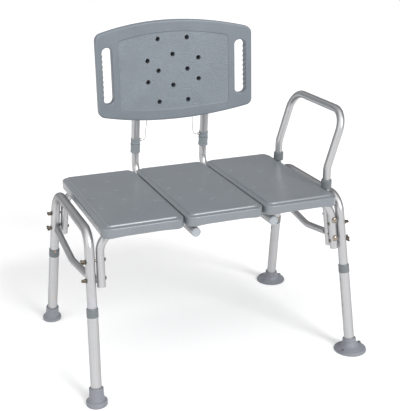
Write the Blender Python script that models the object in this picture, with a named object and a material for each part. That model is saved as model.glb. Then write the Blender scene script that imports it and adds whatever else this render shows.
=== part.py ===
"""Bath transfer bench: aluminium tube frame, moulded seat panels and backrest, one arm rail.

Units are metres, +Z is up, -Y is the front of the seat and the arm rail is at the +X end.
The origin is on the floor, under the middle of the overall box.
"""
import math

import bmesh
import bpy
from mathutils import Matrix, Vector

CLEARANCE = 0.0003

# Where the overall box's middle lies, measured from the middle of the four feet
BOX_MIDDLE_X = 0.0095
BOX_MIDDLE_Y = 0.0046

# Seat
SEAT_TOP = 0.472
PANEL_PITCH = 0.2255
PANEL_WIDTH = 0.221
PANEL_DEPTH = 0.449
PANEL_THICKNESS = 0.030
PANEL_CORNER = 0.025
RIM_DROP = 0.0055
RIM_BAND = 0.011
DIMPLE_RADIUS = 0.0035
DIMPLE_DEPTH = 0.003
DIMPLE_STEP_X = 0.078
DIMPLE_STEP_Y = 0.083

# Tube sizes
TUBE_RADIUS = 0.0127
TUBE_WALL = 0.0013
RAIL_RADIUS = 0.0111
RAIL_WALL = 0.0013
POST_RADIUS = 0.0111
POST_WALL = 0.0013
EXTENSION_RADIUS = 0.0143
EXTENSION_WALL = 0.0013
ARM_RADIUS = 0.0109
ARM_WALL = 0.0011
ARM_POST_RADIUS = 0.0095
ARM_POST_WALL = 0.0012
BRACE_RADIUS = 0.0095
OUTER_SIDES = 12
INNER_SIDES = 6
BEND_STEP = math.radians(20)

# Legs: the axis of each leg leans out from the seat in X and in Y
FOOT_X = 0.381
FOOT_Y = 0.259
LEAN_X = 0.0425
LEAN_Y = {-1: 0.179, 1: 0.192}
BOW_TOP = 0.4475
BOW_BOTTOM = 0.100
BOW_BENDS = (0.052, 0.085)
SIDES = {"left": -1, "right": 1}
ENDS = {"front": -1, "back": 1}

# Seat rails
RAIL_HEIGHT = 0.4415
RAIL_END = 0.305
RAIL_BEND = 0.050
RAIL_TO_LEG = 0.0271
CHANNEL_RADIUS = 0.0116
CHANNEL_END = 0.3215

# Leg extensions
EXTENSION_BOTTOM = 0.018
EXTENSION_TOP = 0.250
COLLAR_BOTTOM = 0.2310
COLLAR_TOP = 0.255
COLLAR_RADIUS = 0.0154
HOLE_PITCH = 0.0254
HOLE_COUNT = 6
HOLE_LOWEST = 0.1112
HOLE_RADIUS = 0.0035
BUTTON_RADIUS = 0.0031
BUTTON_INNER = 0.0080
BUTTON_OUTER = 0.0123

# Feet
TIP_HEIGHT = 0.045
TIP_RADIUS = 0.028
CUP_HEIGHT = 0.036
CUP_RADIUS = 0.047
FOOT_SIDES = 16

# Wing bolts that clamp a rail end to a bow leg
UPPER_BOLT = 0.375
LOWER_BOLT = 0.327
BOLT_RADIUS = 0.003
BOLT_HOLE = 0.0034
DOME_GAP = 0.0021
NUT_GAP = 0.0016

# Cross braces
BRACE_DIP = 0.301
BRACE_BEND = 0.10
STRIP_THICKNESS = 0.002
STRIP_WIDTH = 0.025
STRIP_TO_LEG = 0.0145
STRIP_TO_BRACE = 0.0135

# Arm rail and the posts it stands on
ARM_X = 0.3385
ARM_Y = 0.148
ARM_POST_BOTTOM = 0.302
ARM_POST_KINK = 0.430
ARM_POST_TOP = 0.512
ARM_POST_BEND = 0.060
ARM_BOLT_X = 0.3395
ARM_BOTTOM = 0.4710
ARM_KINK = 0.527
ARM_KINK_BEND = 0.060
ARM_TOP = 0.682
ARM_LEAN = 0.31
ARM_BEND = 0.055
ARM_COLLAR_BOTTOM = 0.4680
ARM_COLLAR_TOP = 0.4935
ARM_COLLAR_RADIUS = 0.0150
ARM_BOLTS = {"upper": 0.388, "lower": 0.337}

# Backrest and the posts that carry it
POSTS_X = 0.032
BACK_CENTRE_X = 0.0275
POST_SPACING = 0.226
CROSS_TUBE_HEIGHT = RAIL_HEIGHT - RAIL_RADIUS - TUBE_RADIUS - CLEARANCE
CROSS_TUBE_END = 0.206
POST_START = 0.060
POST_BEND = 0.050
POST_FOOT_Y = 0.3103
POST_LEAN = 0.13
LOWER_POST_TOP = 0.640
UPPER_POST_BOTTOM = 0.5265
UPPER_POST_Y = 0.2788
UPPER_POST_TOP = 0.800
UPPER_RING_TOP = 0.544
UPPER_RING_RADIUS = 0.0146
LOWER_RING_BOTTOM = 0.4975
LOWER_RING_RADIUS = 0.0153
PIN_HEIGHT = 0.536
PIN_RADIUS = 0.0026
PIN_HOLE = 0.0030
PIN_TIP = 0.0113
PIN_REACH = 0.0275

BACK_HALF_WIDTH = 0.2433
BACK_TOP = 0.901
BACK_BOTTOM = 0.6053
BACK_TOP_ARC = 1.0621
BACK_BOTTOM_ARC = 0.8602
BACK_CORNER = 0.022
BACK_THICKNESS = 0.024
BACK_MIDDLE = 0.755
BACK_FRONT_Y = 0.2489
BACK_BOW = 0.0377
BACK_TILT = 0.0531
SLOT_OFFSET = 0.2088
SLOT_WIDTH = 0.0324
SLOT_HEIGHT = 0.1622
BACK_HOLE_RADIUS = 0.0062
BACK_HOLES_X = BACK_CENTRE_X + 0.001

TETHER_RADIUS = 0.0009


def clear_scene():
    for item in list(bpy.data.objects):
        bpy.data.objects.remove(item, do_unlink=True)


def make_material(name, colour, roughness, metallic):
    material = bpy.data.materials.new(name)
    material.use_nodes = True
    shader = material.node_tree.nodes["Principled BSDF"]
    shader.inputs["Base Color"].default_value = (*colour, 1.0)
    shader.inputs["Roughness"].default_value = roughness
    shader.inputs["Metallic"].default_value = metallic
    return material


FINISHES = {
    "plastic": ((0.25, 0.28, 0.30), 0.45, 0.0),
    "collar": ((0.22, 0.25, 0.26), 0.5, 0.0),
    "rubber": ((0.28, 0.28, 0.32), 0.7, 0.0),
    "aluminium": ((0.80, 0.80, 0.80), 0.32, 1.0),
    "brass": ((0.62, 0.50, 0.34), 0.3, 1.0),
    "steel": ((0.55, 0.53, 0.50), 0.25, 1.0),
    "cord": ((0.80, 0.78, 0.70), 0.6, 0.0),
}


def finish(name, mesh, kind, location=(0, 0, 0)):
    """Link a mesh as the named part, with a material of its own."""
    for polygon in mesh.polygons:
        polygon.use_smooth = True
    mesh.set_sharp_from_angle(angle=math.radians(35))
    mesh.materials.append(make_material(name + "_finish", *FINISHES[kind]))
    part = bpy.data.objects.new(name, mesh)
    part.location = location
    bpy.context.collection.objects.link(part)
    return part


def mesh_from(bm, name):
    bmesh.ops.recalc_face_normals(bm, faces=bm.faces)
    mesh = bpy.data.meshes.new(name)
    bm.to_mesh(mesh)
    bm.free()
    return mesh


def bridge(bm, lower, upper):
    count = len(lower)
    for i in range(count):
        j = (i + 1) % count
        bm.faces.new((lower[i], lower[j], upper[j], upper[i]))


def loft(name, rings, closed=False):
    """Skin rings of points in order; the end rings are capped, or joined when closed."""
    bm = bmesh.new()
    loops = [[bm.verts.new(point) for point in ring] for ring in rings]
    for lower, upper in zip(loops, loops[1:]):
        bridge(bm, lower, upper)
    if closed:
        bridge(bm, loops[-1], loops[0])
    else:
        bm.faces.new(loops[0])
        bm.faces.new(loops[-1])
    return mesh_from(bm, name)


def circle(centre, axis, radius, sides):
    """A ring of points about an axis, started on the side nearest to world X or Y."""
    axis = Vector(axis).normalized()
    guide = Vector((1, 0, 0)) if abs(axis.x) < 0.7 else Vector((0, 1, 0))
    across = (guide - axis * guide.dot(axis)).normalized()
    along = axis.cross(across)
    centre = Vector(centre)
    turns = [2 * math.pi * i / sides for i in range(sides)]
    return [centre + radius * (math.cos(t) * across + math.sin(t) * along) for t in turns]


def turned(name, base, axis, profile, sides, closed=False):
    """A round piece: profile holds (distance along the axis, radius) pairs."""
    base = Vector(base)
    axis = Vector(axis).normalized()
    rings = [circle(base + axis * step, axis, radius, sides) for step, radius in profile]
    return loft(name, rings, closed)


def rounded_path(corners, radii):
    """Replace each inner corner of a polyline with an arc of the given radius."""
    corners = [Vector(corner) for corner in corners]
    points = [corners[0]]
    for before, corner, after, radius in zip(corners, corners[1:], corners[2:], radii):
        back = (before - corner).normalized()
        ahead = (after - corner).normalized()
        turn = math.pi - back.angle(ahead)
        reach = radius * math.tan(turn / 2)
        normal = (back + ahead).normalized()
        centre = corner + normal * (radius / math.cos(turn / 2))
        spoke = corner + back * reach - centre
        swing = back.cross(ahead).normalized()
        steps = max(2, math.ceil(turn / BEND_STEP))
        for step in range(steps + 1):
            points.append(centre + Matrix.Rotation(-turn * step / steps, 3, swing) @ spoke)
    points.append(corners[-1])
    return points


def path_frames(points):
    """A tangent and two cross directions at each point, carried along without twist."""
    tangents = []
    for i, point in enumerate(points):
        before = point - points[i - 1] if i else points[1] - points[0]
        after = points[i + 1] - point if i < len(points) - 1 else before
        tangents.append((before.normalized() + after.normalized()).normalized())
    guide = Vector((1, 0, 0)) if abs(tangents[0].x) < 0.7 else Vector((0, 1, 0))
    across = (guide - tangents[0] * guide.dot(tangents[0])).normalized()
    frames = []
    for i, tangent in enumerate(tangents):
        if i:
            across = tangents[i - 1].rotation_difference(tangent) @ across
        across = (across - tangent * across.dot(tangent)).normalized()
        frames.append((tangent, across, tangent.cross(across)))
    return frames


def sweep_rings(bm, points, frames, radius, sides):
    rings = []
    for point, (_, across, along) in zip(points, frames):
        turns = [2 * math.pi * i / sides for i in range(sides)]
        ring = [point + radius * (math.cos(t) * across + math.sin(t) * along) for t in turns]
        rings.append([bm.verts.new(place) for place in ring])
    return rings


def tube(name, points, radius, wall, inner_sides=INNER_SIDES):
    """An open-ended hollow tube along a path. A bore that guides another tube has more sides."""
    bm = bmesh.new()
    frames = path_frames(points)
    outer = sweep_rings(bm, points, frames, radius, OUTER_SIDES)
    inner = sweep_rings(bm, points, frames, radius - wall, inner_sides)
    for rings in (outer, inner):
        for lower, upper in zip(rings, rings[1:]):
            bridge(bm, lower, upper)
    ratio = OUTER_SIDES // inner_sides
    for out_ring, in_ring in ((outer[0], inner[0]), (outer[-1], inner[-1])):
        for i in range(inner_sides):
            rim = [out_ring[(i * ratio + k) % OUTER_SIDES] for k in range(ratio + 1)]
            bm.faces.new(rim + [in_ring[(i + 1) % inner_sides], in_ring[i]])
    return mesh_from(bm, name)


def rod_cutter(name, rods, sides=10):
    """One hidden cutter made of round bars, each given as (start, end, radius)."""
    bm = bmesh.new()
    for start, end, radius in rods:
        start = Vector(start)
        end = Vector(end)
        axis = end - start
        loops = [[bm.verts.new(p) for p in circle(c, axis, radius, sides)] for c in (start, end)]
        bridge(bm, *loops)
        for loop in loops:
            bm.faces.new(loop)
    return hidden(name, mesh_from(bm, name))


def hidden(name, mesh):
    cutter = bpy.data.objects.new(name, mesh)
    cutter.hide_render = True
    cutter.display_type = "WIRE"
    bpy.context.collection.objects.link(cutter)
    return cutter


def combine(part, other, operation):
    modifier = part.modifiers.new(other.name, "BOOLEAN")
    modifier.operation = operation
    modifier.object = other


def cut(part, cutter):
    combine(part, cutter, "DIFFERENCE")


def leg_point(side, end, height):
    """The leg's axis at a height; side and end are -1 or 1."""
    across = side * (FOOT_X - LEAN_X * height)
    return Vector((across, end * (FOOT_Y - LEAN_Y[end] * height), height))


def leg_axis(side, end):
    return Vector((-side * LEAN_X, -end * LEAN_Y[end], 1)).normalized()


def rounded_rectangle(width, depth, radius, arc_steps=4):
    points = []
    for corner, (sx, sy) in enumerate(((1, 1), (-1, 1), (-1, -1), (1, -1))):
        cx = sx * (width / 2 - radius)
        cy = sy * (depth / 2 - radius)
        for step in range(arc_steps + 1):
            angle = math.pi / 2 * (corner + step / arc_steps)
            points.append((cx + radius * math.cos(angle), cy + radius * math.sin(angle)))
    return points


def panel_rings():
    """Inset and height of each ring, from the underside over the rim to the raised field."""
    bottom = SEAT_TOP - PANEL_THICKNESS
    rim = SEAT_TOP - RIM_DROP
    return (
        (0.005, bottom),
        (0.001, bottom + 0.0015),
        (0.0, bottom + 0.005),
        (0.0, rim - 0.005),
        (0.0015, rim - 0.0015),
        (0.005, rim),
        (RIM_BAND, rim),
        (RIM_BAND + 0.002, SEAT_TOP - 0.001),
        (RIM_BAND + 0.0045, SEAT_TOP),
    )


def dimple_places(centre_x):
    """Three columns of drain dimples, four in the middle one."""
    for column in (-1, 0, 1):
        rows = (-1.5, -0.5, 0.5, 1.5) if column == 0 else (-1, 0, 1)
        for row in rows:
            yield centre_x + column * DIMPLE_STEP_X, row * DIMPLE_STEP_Y


def seat_panel(name, index):
    centre_x = index * PANEL_PITCH
    rings = []
    for inset, height in panel_rings():
        outline = rounded_rectangle(
            PANEL_WIDTH - 2 * inset, PANEL_DEPTH - 2 * inset, PANEL_CORNER - inset)
        rings.append([(centre_x + x, y, height) for x, y in outline])
    panel = finish(name, loft(name, rings), "plastic")
    floor = SEAT_TOP - DIMPLE_DEPTH
    dimples = [((x, y, floor), (x, y, SEAT_TOP + 0.01), DIMPLE_RADIUS)
               for x, y in dimple_places(centre_x)]
    cut(panel, rod_cutter(name + "_dimples", dimples, 8))
    start = max(centre_x - PANEL_WIDTH, -CHANNEL_END)
    stop = min(centre_x + PANEL_WIDTH, CHANNEL_END)
    channels = [((start, rail_y(end), RAIL_HEIGHT), (stop, rail_y(end), RAIL_HEIGHT),
                 CHANNEL_RADIUS) for end in ENDS.values()]
    cut(panel, rod_cutter(name + "_channels", channels, 16))
    return panel


def rail_y(end):
    return leg_point(1, end, RAIL_HEIGHT).y


def notch_for_posts(panel):
    """The end panel is relieved where the arm posts stand against it."""
    rods = [((ARM_X, end * ARM_Y, RAIL_END), (ARM_X, end * ARM_Y, ARM_POST_TOP),
             ARM_POST_RADIUS + CLEARANCE) for end in ENDS.values()]
    cut(panel, rod_cutter("post_notches", rods, OUTER_SIDES))
    rods = [((ARM_X, end * ARM_Y, ARM_COLLAR_BOTTOM - 0.0005), (ARM_X, end * ARM_Y, ARM_POST_TOP),
             ARM_COLLAR_RADIUS + 2 * CLEARANCE) for end in ENDS.values()]
    cut(panel, rod_cutter("collar_notches", rods, OUTER_SIDES))


def seat_rail(name, end):
    """A rail under the panels whose ends turn down beside the bow legs."""
    offset = Vector((RAIL_TO_LEG, 0, 0))
    corners = []
    for side in (-1, 1):
        pair = [leg_point(side, end, height) - side * offset for height in (RAIL_END, RAIL_HEIGHT)]
        corners += pair if side < 0 else pair[::-1]
    path = rounded_path(corners, (RAIL_BEND, RAIL_BEND))
    rail = finish(name, tube(name, path, RAIL_RADIUS, RAIL_WALL), "aluminium")
    holes = [bolt_span(side, end, height, BOLT_HOLE)
             for side in SIDES.values() for height in (UPPER_BOLT, LOWER_BOLT)]
    holes += [arm_bolt_span(end, height, BOLT_HOLE) for height in ARM_BOLTS.values()]
    cut(rail, rod_cutter(name + "_holes", holes, 8))


def bolt_span(side, end, height, radius):
    """Start, end and radius of the straight bar through a rail end and its bow leg."""
    middle = leg_point(side, end, height)
    reach = Vector((side, 0, 0))
    return middle - reach * (RAIL_TO_LEG + 0.02), middle + reach * 0.02, radius


def arm_bolt_span(end, height, radius):
    outer = abs(leg_point(1, end, height).y) + 0.02
    inner = abs(arm_post_point(end, height).y) - 0.02
    return (ARM_BOLT_X, end * outer, height), (ARM_BOLT_X, end * inner, height), radius


def leg_bow(name, side):
    """An upside-down U whose legs splay in both directions."""
    corners = [leg_point(side, -1, BOW_BOTTOM), leg_point(side, -1, BOW_TOP),
               leg_point(side, 1, BOW_TOP), leg_point(side, 1, BOW_BOTTOM)]
    path = rounded_path(corners, BOW_BENDS)
    bow = finish(name, tube(name, path, TUBE_RADIUS, TUBE_WALL), "aluminium")
    holes = [bolt_span(side, end, height, BOLT_HOLE)
             for end in ENDS.values() for height in (UPPER_BOLT, LOWER_BOLT)]
    for end in ENDS.values():
        middle = leg_point(side, end, button_height())
        holes.append((middle, middle - Vector((side * 0.02, 0, 0)), HOLE_RADIUS))
    cut(bow, rod_cutter(name + "_holes", holes, 8))


def button_height():
    """The bench stands in the second of its six heights."""
    return HOLE_LOWEST + HOLE_PITCH * leg_axis(1, 1).z


def brace_section(centre, drop, width, thickness):
    """A ring across the brace: width lies in the brace's plane, thickness along X."""
    ring = []
    for i in range(12):
        turn = 2 * math.pi * i / 12
        ring.append(centre + Vector((math.sin(turn) * thickness / 2, 0, 0))
                    + drop * (math.cos(turn) * width / 2))
    return ring


def cross_brace(name, side):
    """A shallow V of round bar whose flattened ends lie between a rail end and a leg."""
    eye = leg_point(side, 1, LOWER_BOLT)
    strip_x = eye.x - side * STRIP_TO_LEG
    brace_x = strip_x + side * STRIP_TO_BRACE
    reach = eye.y
    crush = reach - TUBE_RADIUS - 0.014
    corners = [(brace_x, -crush, LOWER_BOLT), (brace_x, 0, BRACE_DIP), (brace_x, crush, LOWER_BOLT)]
    path = rounded_path(corners, (BRACE_BEND,))
    frames = path_frames(path)
    width = 2 * BRACE_RADIUS
    flat = (STRIP_WIDTH, STRIP_THICKNESS)
    rings = [brace_section(p, f[0].cross(Vector((1, 0, 0))), width, width)
             for p, f in zip(path, frames)]
    up = Vector((0, 0, 1))
    for end, order in ((-1, -1), (1, 1)):
        strip = [brace_section(Vector((strip_x, end * y, LOWER_BOLT)), -up, w, flat[1])
                 for y, w in ((crush + 0.009, flat[0]), (reach + 0.004, flat[0]),
                              (reach + 0.010, flat[0] * 0.6))]
        rings = rings + strip if order > 0 else strip[::-1] + rings
    brace = finish(name, loft(name, rings), "aluminium")
    holes = [bolt_span(side, end, LOWER_BOLT, BOLT_HOLE) for end in ENDS.values()]
    cut(brace, rod_cutter(name + "_holes", holes, 8))


def leg_extension(name, side, end):
    """The outer lower tube, with height holes on its face towards the seat."""
    path = [leg_point(side, end, EXTENSION_BOTTOM), leg_point(side, end, EXTENSION_TOP)]
    mesh = tube(name, path, EXTENSION_RADIUS, EXTENSION_WALL, OUTER_SIDES)
    extension = finish(name, mesh, "aluminium")
    cut(extension, rod_cutter(name + "_holes", height_holes(side, end, HOLE_COUNT), 8))


def height_holes(side, end, count):
    lift = leg_axis(side, end) * HOLE_PITCH
    lowest = leg_point(side, end, HOLE_LOWEST)
    inward = Vector((-side * 0.03, 0, 0))
    return [(lowest + lift * i, lowest + lift * i + inward, HOLE_RADIUS) for i in range(count)]


def leg_collar(name, side, end):
    """A stepped ring: its wide bore holds the extension, its narrow one guides the bow leg."""
    wide = EXTENSION_RADIUS + CLEARANCE
    narrow = TUBE_RADIUS + CLEARANCE
    step = EXTENSION_TOP + 0.001 - COLLAR_BOTTOM
    height = COLLAR_TOP - COLLAR_BOTTOM
    profile = ((0, wide), (0, COLLAR_RADIUS - 0.0006), (0.0015, COLLAR_RADIUS),
               (height - 0.003, COLLAR_RADIUS), (height, COLLAR_RADIUS - 0.0012),
               (height, narrow), (step, narrow), (step, wide))
    base = leg_point(side, end, COLLAR_BOTTOM)
    mesh = turned(name, base, leg_axis(side, end), profile, OUTER_SIDES, closed=True)
    collar = finish(name, mesh, "collar")
    cut(collar, rod_cutter(name + "_hole", height_holes(side, end, HOLE_COUNT)[-1:], 8))


def leg_button(name, side, end):
    """The spring button in the bow leg, seen through a height hole of the extension."""
    lift = leg_axis(side, end) * HOLE_PITCH
    middle = leg_point(side, end, HOLE_LOWEST) + lift
    inward = Vector((-side, 0, 0))
    length = BUTTON_OUTER - BUTTON_INNER
    profile = ((0, BUTTON_RADIUS), (length - 0.0015, BUTTON_RADIUS), (length, BUTTON_RADIUS * 0.6))
    mesh = turned(name, inward * BUTTON_INNER, inward, profile, 10)
    finish(name, mesh, "brass", location=middle)


def foot_rings(side, end, profile, height):
    """Rings that start flat on the floor and turn square to the leg by the top."""
    rings = []
    upright = Vector((0, 0, 1))
    for level, radius in profile:
        tilt = min(1.0, level / (height * 0.5))
        axis = upright.lerp(leg_axis(side, end), tilt)
        rings.append(circle(leg_point(side, end, level), axis, radius, FOOT_SIDES))
    return rings


def foot(name, side, end, profile, height):
    """A foot with a blind bore for the end of the extension."""
    bore = EXTENSION_RADIUS + CLEARANCE
    rings = foot_rings(side, end, profile, height)
    axis = leg_axis(side, end)
    for level in (height, EXTENSION_BOTTOM - CLEARANCE):
        rings.append(circle(leg_point(side, end, level), axis, bore, FOOT_SIDES))
    return finish(name, loft(name, rings), "rubber")


def rubber_tip(name, side, end):
    profile = ((0, TIP_RADIUS - 0.001), (0.002, TIP_RADIUS), (0.006, TIP_RADIUS),
               (0.012, 0.0235), (0.020, 0.0195), (0.030, 0.0178), (TIP_HEIGHT - 0.002, 0.0172),
               (TIP_HEIGHT, 0.0164))
    foot(name, side, end, profile, TIP_HEIGHT)


def suction_cup(name, side, end):
    """A wide cup, hollowed underneath so that its rim meets the floor."""
    profile = ((0.004, 0.012), (0.003, 0.034), (0, CUP_RADIUS - 0.003), (0.0015, CUP_RADIUS),
               (0.005, CUP_RADIUS - 0.001), (0.009, 0.037), (0.014, 0.025), (0.021, 0.0192),
               (CUP_HEIGHT - 0.002, 0.0178), (CUP_HEIGHT, 0.0168))
    foot(name, side, end, profile, CUP_HEIGHT)


def wing_bolt(name, side, end, height):
    """A bolt along X with a round head inside the rail end and a winged end outside the leg."""
    middle = leg_point(side, end, height)
    outward = Vector((side, 0, 0))
    inner = RAIL_TO_LEG + RAIL_RADIUS + CLEARANCE
    outer = TUBE_RADIUS + CLEARANCE
    head = -inner - 0.003
    profile = ((head, 0.0030), (head + 0.001, 0.0048), (-inner, 0.0052), (-inner, BOLT_RADIUS),
               (outer, BOLT_RADIUS), (outer, 0.0055), (outer + 0.007, 0.0042),
               (outer + 0.011, 0.0042), (outer + 0.012, 0.0030))
    bolt = finish(name, turned(name, (0, 0, 0), outward, profile, 8), "brass", location=middle)
    wings = hidden(name + "_wings", wing_mesh(name, side, outer))
    wings.location = middle
    combine(bolt, wings, "UNION")


def wing_mesh(name, side, start):
    """Two rounded ears across the bolt, leaning away from the leg."""
    outline = ((0.0035, 0.0), (0.0115, 0.003), (0.0125, 0.009), (0.0095, 0.0115), (0.0, 0.0075))
    right = [(start + 0.0015 + rise, reach) for reach, rise in outline]
    left = [(x, -reach) for x, reach in reversed(right[:-1])]
    shape = right + left
    half = 0.0011
    rings = [[(side * x, y, z) for x, y in shape] for z in (-half, half)]
    return loft(name + "_wings", rings)


def arm_post_point(end, height):
    """The arm post's axis: parallel to the leg up to the kink, then upright."""
    drop = max(0.0, ARM_POST_KINK - height)
    return Vector((ARM_X + LEAN_X * drop, end * (ARM_Y + LEAN_Y[end] * drop), height))


def arm_post(name, end):
    heights = (ARM_POST_BOTTOM, ARM_POST_KINK, ARM_POST_TOP)
    path = rounded_path([arm_post_point(end, height) for height in heights], (ARM_POST_BEND,))
    post = finish(name, tube(name, path, ARM_POST_RADIUS, ARM_POST_WALL), "aluminium")
    holes = [arm_bolt_span(end, height, BOLT_HOLE) for height in ARM_BOLTS.values()]
    cut(post, rod_cutter(name + "_holes", holes, 8))


def arm_collar(name, end):
    """A stepped ring on the post: the arm rail's end stands inside its wide upper bore."""
    wide = ARM_RADIUS + CLEARANCE
    narrow = ARM_POST_RADIUS + CLEARANCE
    step = ARM_BOTTOM - CLEARANCE - ARM_COLLAR_BOTTOM
    height = ARM_COLLAR_TOP - ARM_COLLAR_BOTTOM
    profile = ((0, narrow), (0, ARM_COLLAR_RADIUS - 0.001), (0.001, ARM_COLLAR_RADIUS),
               (height - 0.003, ARM_COLLAR_RADIUS), (height, ARM_COLLAR_RADIUS - 0.0015),
               (height, wide), (step, wide), (step, narrow))
    base = (ARM_X, end * ARM_Y, ARM_COLLAR_BOTTOM)
    finish(name, turned(name, base, (0, 0, 1), profile, OUTER_SIDES, closed=True), "collar")


def arm_rail(name):
    """A U that stands over its posts, then leans away from the seat."""
    top_x = ARM_X + ARM_LEAN * (ARM_TOP - ARM_KINK)
    corners = []
    for end in (-1, 1):
        leg = [(ARM_X, end * ARM_Y, ARM_BOTTOM), (ARM_X, end * ARM_Y, ARM_KINK),
               (top_x, end * ARM_Y, ARM_TOP)]
        corners += leg if end < 0 else leg[::-1]
    path = rounded_path(corners, (ARM_KINK_BEND, ARM_BEND, ARM_BEND, ARM_KINK_BEND))
    finish(name, tube(name, path, ARM_RADIUS, ARM_WALL, OUTER_SIDES), "aluminium")


def arm_bolt(name, end, height):
    """A bolt along Y with a large domed head, through a rail end and an arm post."""
    start = abs(leg_point(1, end, height).y) + RAIL_RADIUS + DOME_GAP
    tail = abs(arm_post_point(end, height).y) - ARM_POST_RADIUS - NUT_GAP
    inward = Vector((0, -end, 0))
    length = start - tail
    profile = ((-0.0055, 0.0020), (-0.0045, 0.0048), (-0.002, 0.0070), (0, 0.0076),
               (0, BOLT_RADIUS), (length, BOLT_RADIUS), (length, 0.0052), (length + 0.004, 0.0052),
               (length + 0.0055, 0.0030))
    base = (ARM_BOLT_X, end * start, height)
    finish(name, turned(name, base, inward, profile, 10), "steel")


def post_y(height):
    return POST_FOOT_Y - POST_LEAN * (height - CROSS_TUBE_HEIGHT)


def post_point(x, height):
    return Vector((x, post_y(height), height))


def post_axis():
    return Vector((0, -POST_LEAN, 1)).normalized()


def cross_tube(name, x):
    path = [Vector((x, y, CROSS_TUBE_HEIGHT)) for y in (-CROSS_TUBE_END, CROSS_TUBE_END)]
    finish(name, tube(name, path, TUBE_RADIUS, TUBE_WALL, OUTER_SIDES), "aluminium")


def end_cap(name, x):
    """A plug with a flanged, slightly domed face."""
    stem = TUBE_RADIUS - TUBE_WALL - 2 * CLEARANCE
    profile = ((-0.018, stem - 0.001), (CLEARANCE, stem), (CLEARANCE, TUBE_RADIUS),
               (0.0025, TUBE_RADIUS), (0.0038, TUBE_RADIUS - 0.0015), (0.0045, 0.006))
    base = (x, -CROSS_TUBE_END, CROSS_TUBE_HEIGHT)
    finish(name, turned(name, base, (0, -1, 0), profile, OUTER_SIDES), "plastic")


def lower_post(name, x, inward):
    """An L tube that slides into the cross tube and stands up behind the seat."""
    corners = [(x, POST_START, CROSS_TUBE_HEIGHT), (x, POST_FOOT_Y, CROSS_TUBE_HEIGHT),
               post_point(x, LOWER_POST_TOP)]
    path = rounded_path(corners, (POST_BEND,))
    post = finish(name, tube(name, path, POST_RADIUS, POST_WALL), "aluminium")
    cut(post, pin_cutter(name, x, inward))


def upper_post(name, x, inward):
    """The tube that slides over the lower post and carries the backrest."""
    drop = POST_FOOT_Y + POST_LEAN * CROSS_TUBE_HEIGHT - UPPER_POST_Y + BACK_TILT * BACK_MIDDLE
    kink = post_point(x, drop / (POST_LEAN + BACK_TILT))
    top = (x, UPPER_POST_Y + BACK_TILT * (UPPER_POST_TOP - BACK_MIDDLE), UPPER_POST_TOP)
    path = rounded_path([post_point(x, UPPER_POST_BOTTOM), kink, top], (0.10,))
    mesh = tube(name, path, TUBE_RADIUS, TUBE_WALL, OUTER_SIDES)
    post = finish(name, mesh, "aluminium")
    cut(post, pin_cutter(name, x, inward))


def pin_cutter(name, x, inward):
    middle = post_point(x, PIN_HEIGHT)
    reach = Vector((inward * 0.03, 0, 0))
    return rod_cutter(name + "_pin_hole", [(middle - reach, middle + reach, PIN_HOLE)], 8)


def post_ring(name, x, low, high, bore, radius):
    axis = post_axis()
    length = (post_point(x, high) - post_point(x, low)).length
    profile = ((0, bore), (0, radius - 0.001), (0.001, radius), (length - 0.001, radius),
               (length, radius - 0.001), (length, bore))
    return finish(name, turned(name, post_point(x, low), axis, profile, OUTER_SIDES, closed=True),
                  "collar")


def lock_pin(name, x, inward):
    """A pin through the upper ring and post, with a small round head on its inner side."""
    neck = UPPER_RING_RADIUS + 0.0008
    profile = ((PIN_TIP, PIN_RADIUS * 0.6), (PIN_TIP + 0.0008, PIN_RADIUS), (neck, PIN_RADIUS),
               (neck, 0.0045), (neck + 0.003, 0.0045), (neck + 0.0038, 0.0022),
               (PIN_REACH - 0.001, 0.0022), (PIN_REACH, 0.0014))
    mesh = turned(name, (0, 0, 0), (inward, 0, 0), profile, 10)
    finish(name, mesh, "steel", location=post_point(x, PIN_HEIGHT))


def tether(name, points):
    """A thin cord along a smooth curve through the route's points."""
    curve = bpy.data.curves.new(name, "CURVE")
    curve.dimensions = "3D"
    curve.bevel_depth = TETHER_RADIUS
    curve.bevel_resolution = 2
    curve.use_fill_caps = True
    places = smooth_route([Vector(point) for point in points], 3)
    spline = curve.splines.new("POLY")
    spline.points.add(len(places) - 1)
    for knot, place in zip(spline.points, places):
        knot.co = (*place, 1.0)
    curve.materials.append(make_material(name + "_finish", *FINISHES["cord"]))
    part = bpy.data.objects.new(name, curve)
    bpy.context.collection.objects.link(part)


def smooth_route(points, steps):
    """Catmull-Rom points between the route's own points."""
    ends = [2 * points[0] - points[1]] + points + [2 * points[-1] - points[-2]]
    places = []
    for a, b, c, d in zip(ends, ends[1:], ends[2:], ends[3:]):
        for step in range(steps):
            t = step / steps
            places.append(0.5 * (2 * b + (c - a) * t + (2 * a - 5 * b + 4 * c - d) * t ** 2
                                 + (3 * b - a - 3 * c + d) * t ** 3))
    return places + [points[-1]]


def back_front_y(x, height):
    """The backrest's front face, bowed towards the sitter at its sides and tilted back."""
    share = (x - BACK_CENTRE_X) / BACK_HALF_WIDTH
    return BACK_FRONT_Y - BACK_BOW * share ** 2 + BACK_TILT * (height - BACK_MIDDLE)


def barrel_outline(inset):
    """The backrest's outline: arched top and bottom, straight sides, rounded corners."""
    points = []
    half = BACK_HALF_WIDTH - BACK_CORNER
    radius = BACK_CORNER - inset
    for sign, arc, crown in ((1, BACK_TOP_ARC, BACK_TOP), (-1, BACK_BOTTOM_ARC, BACK_BOTTOM)):
        pivot = crown - sign * arc
        lean = math.asin(half / (arc - BACK_CORNER))
        corner_z = (arc - BACK_CORNER) * math.cos(lean)
        span = math.pi / 2 - lean
        right = [(half + radius * math.cos(span * i / 4), corner_z + radius * math.sin(span * i / 4))
                 for i in range(4)]
        crest = [((arc - inset) * math.sin(lean * i / 5), (arc - inset) * math.cos(lean * i / 5))
                 for i in range(5, -6, -1)]
        left = [(-x, z) for x, z in reversed(right)]
        curve = [(BACK_CENTRE_X + x, pivot + sign * z) for x, z in right + crest + left]
        points += curve if sign > 0 else curve[::-1]
    return points


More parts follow.
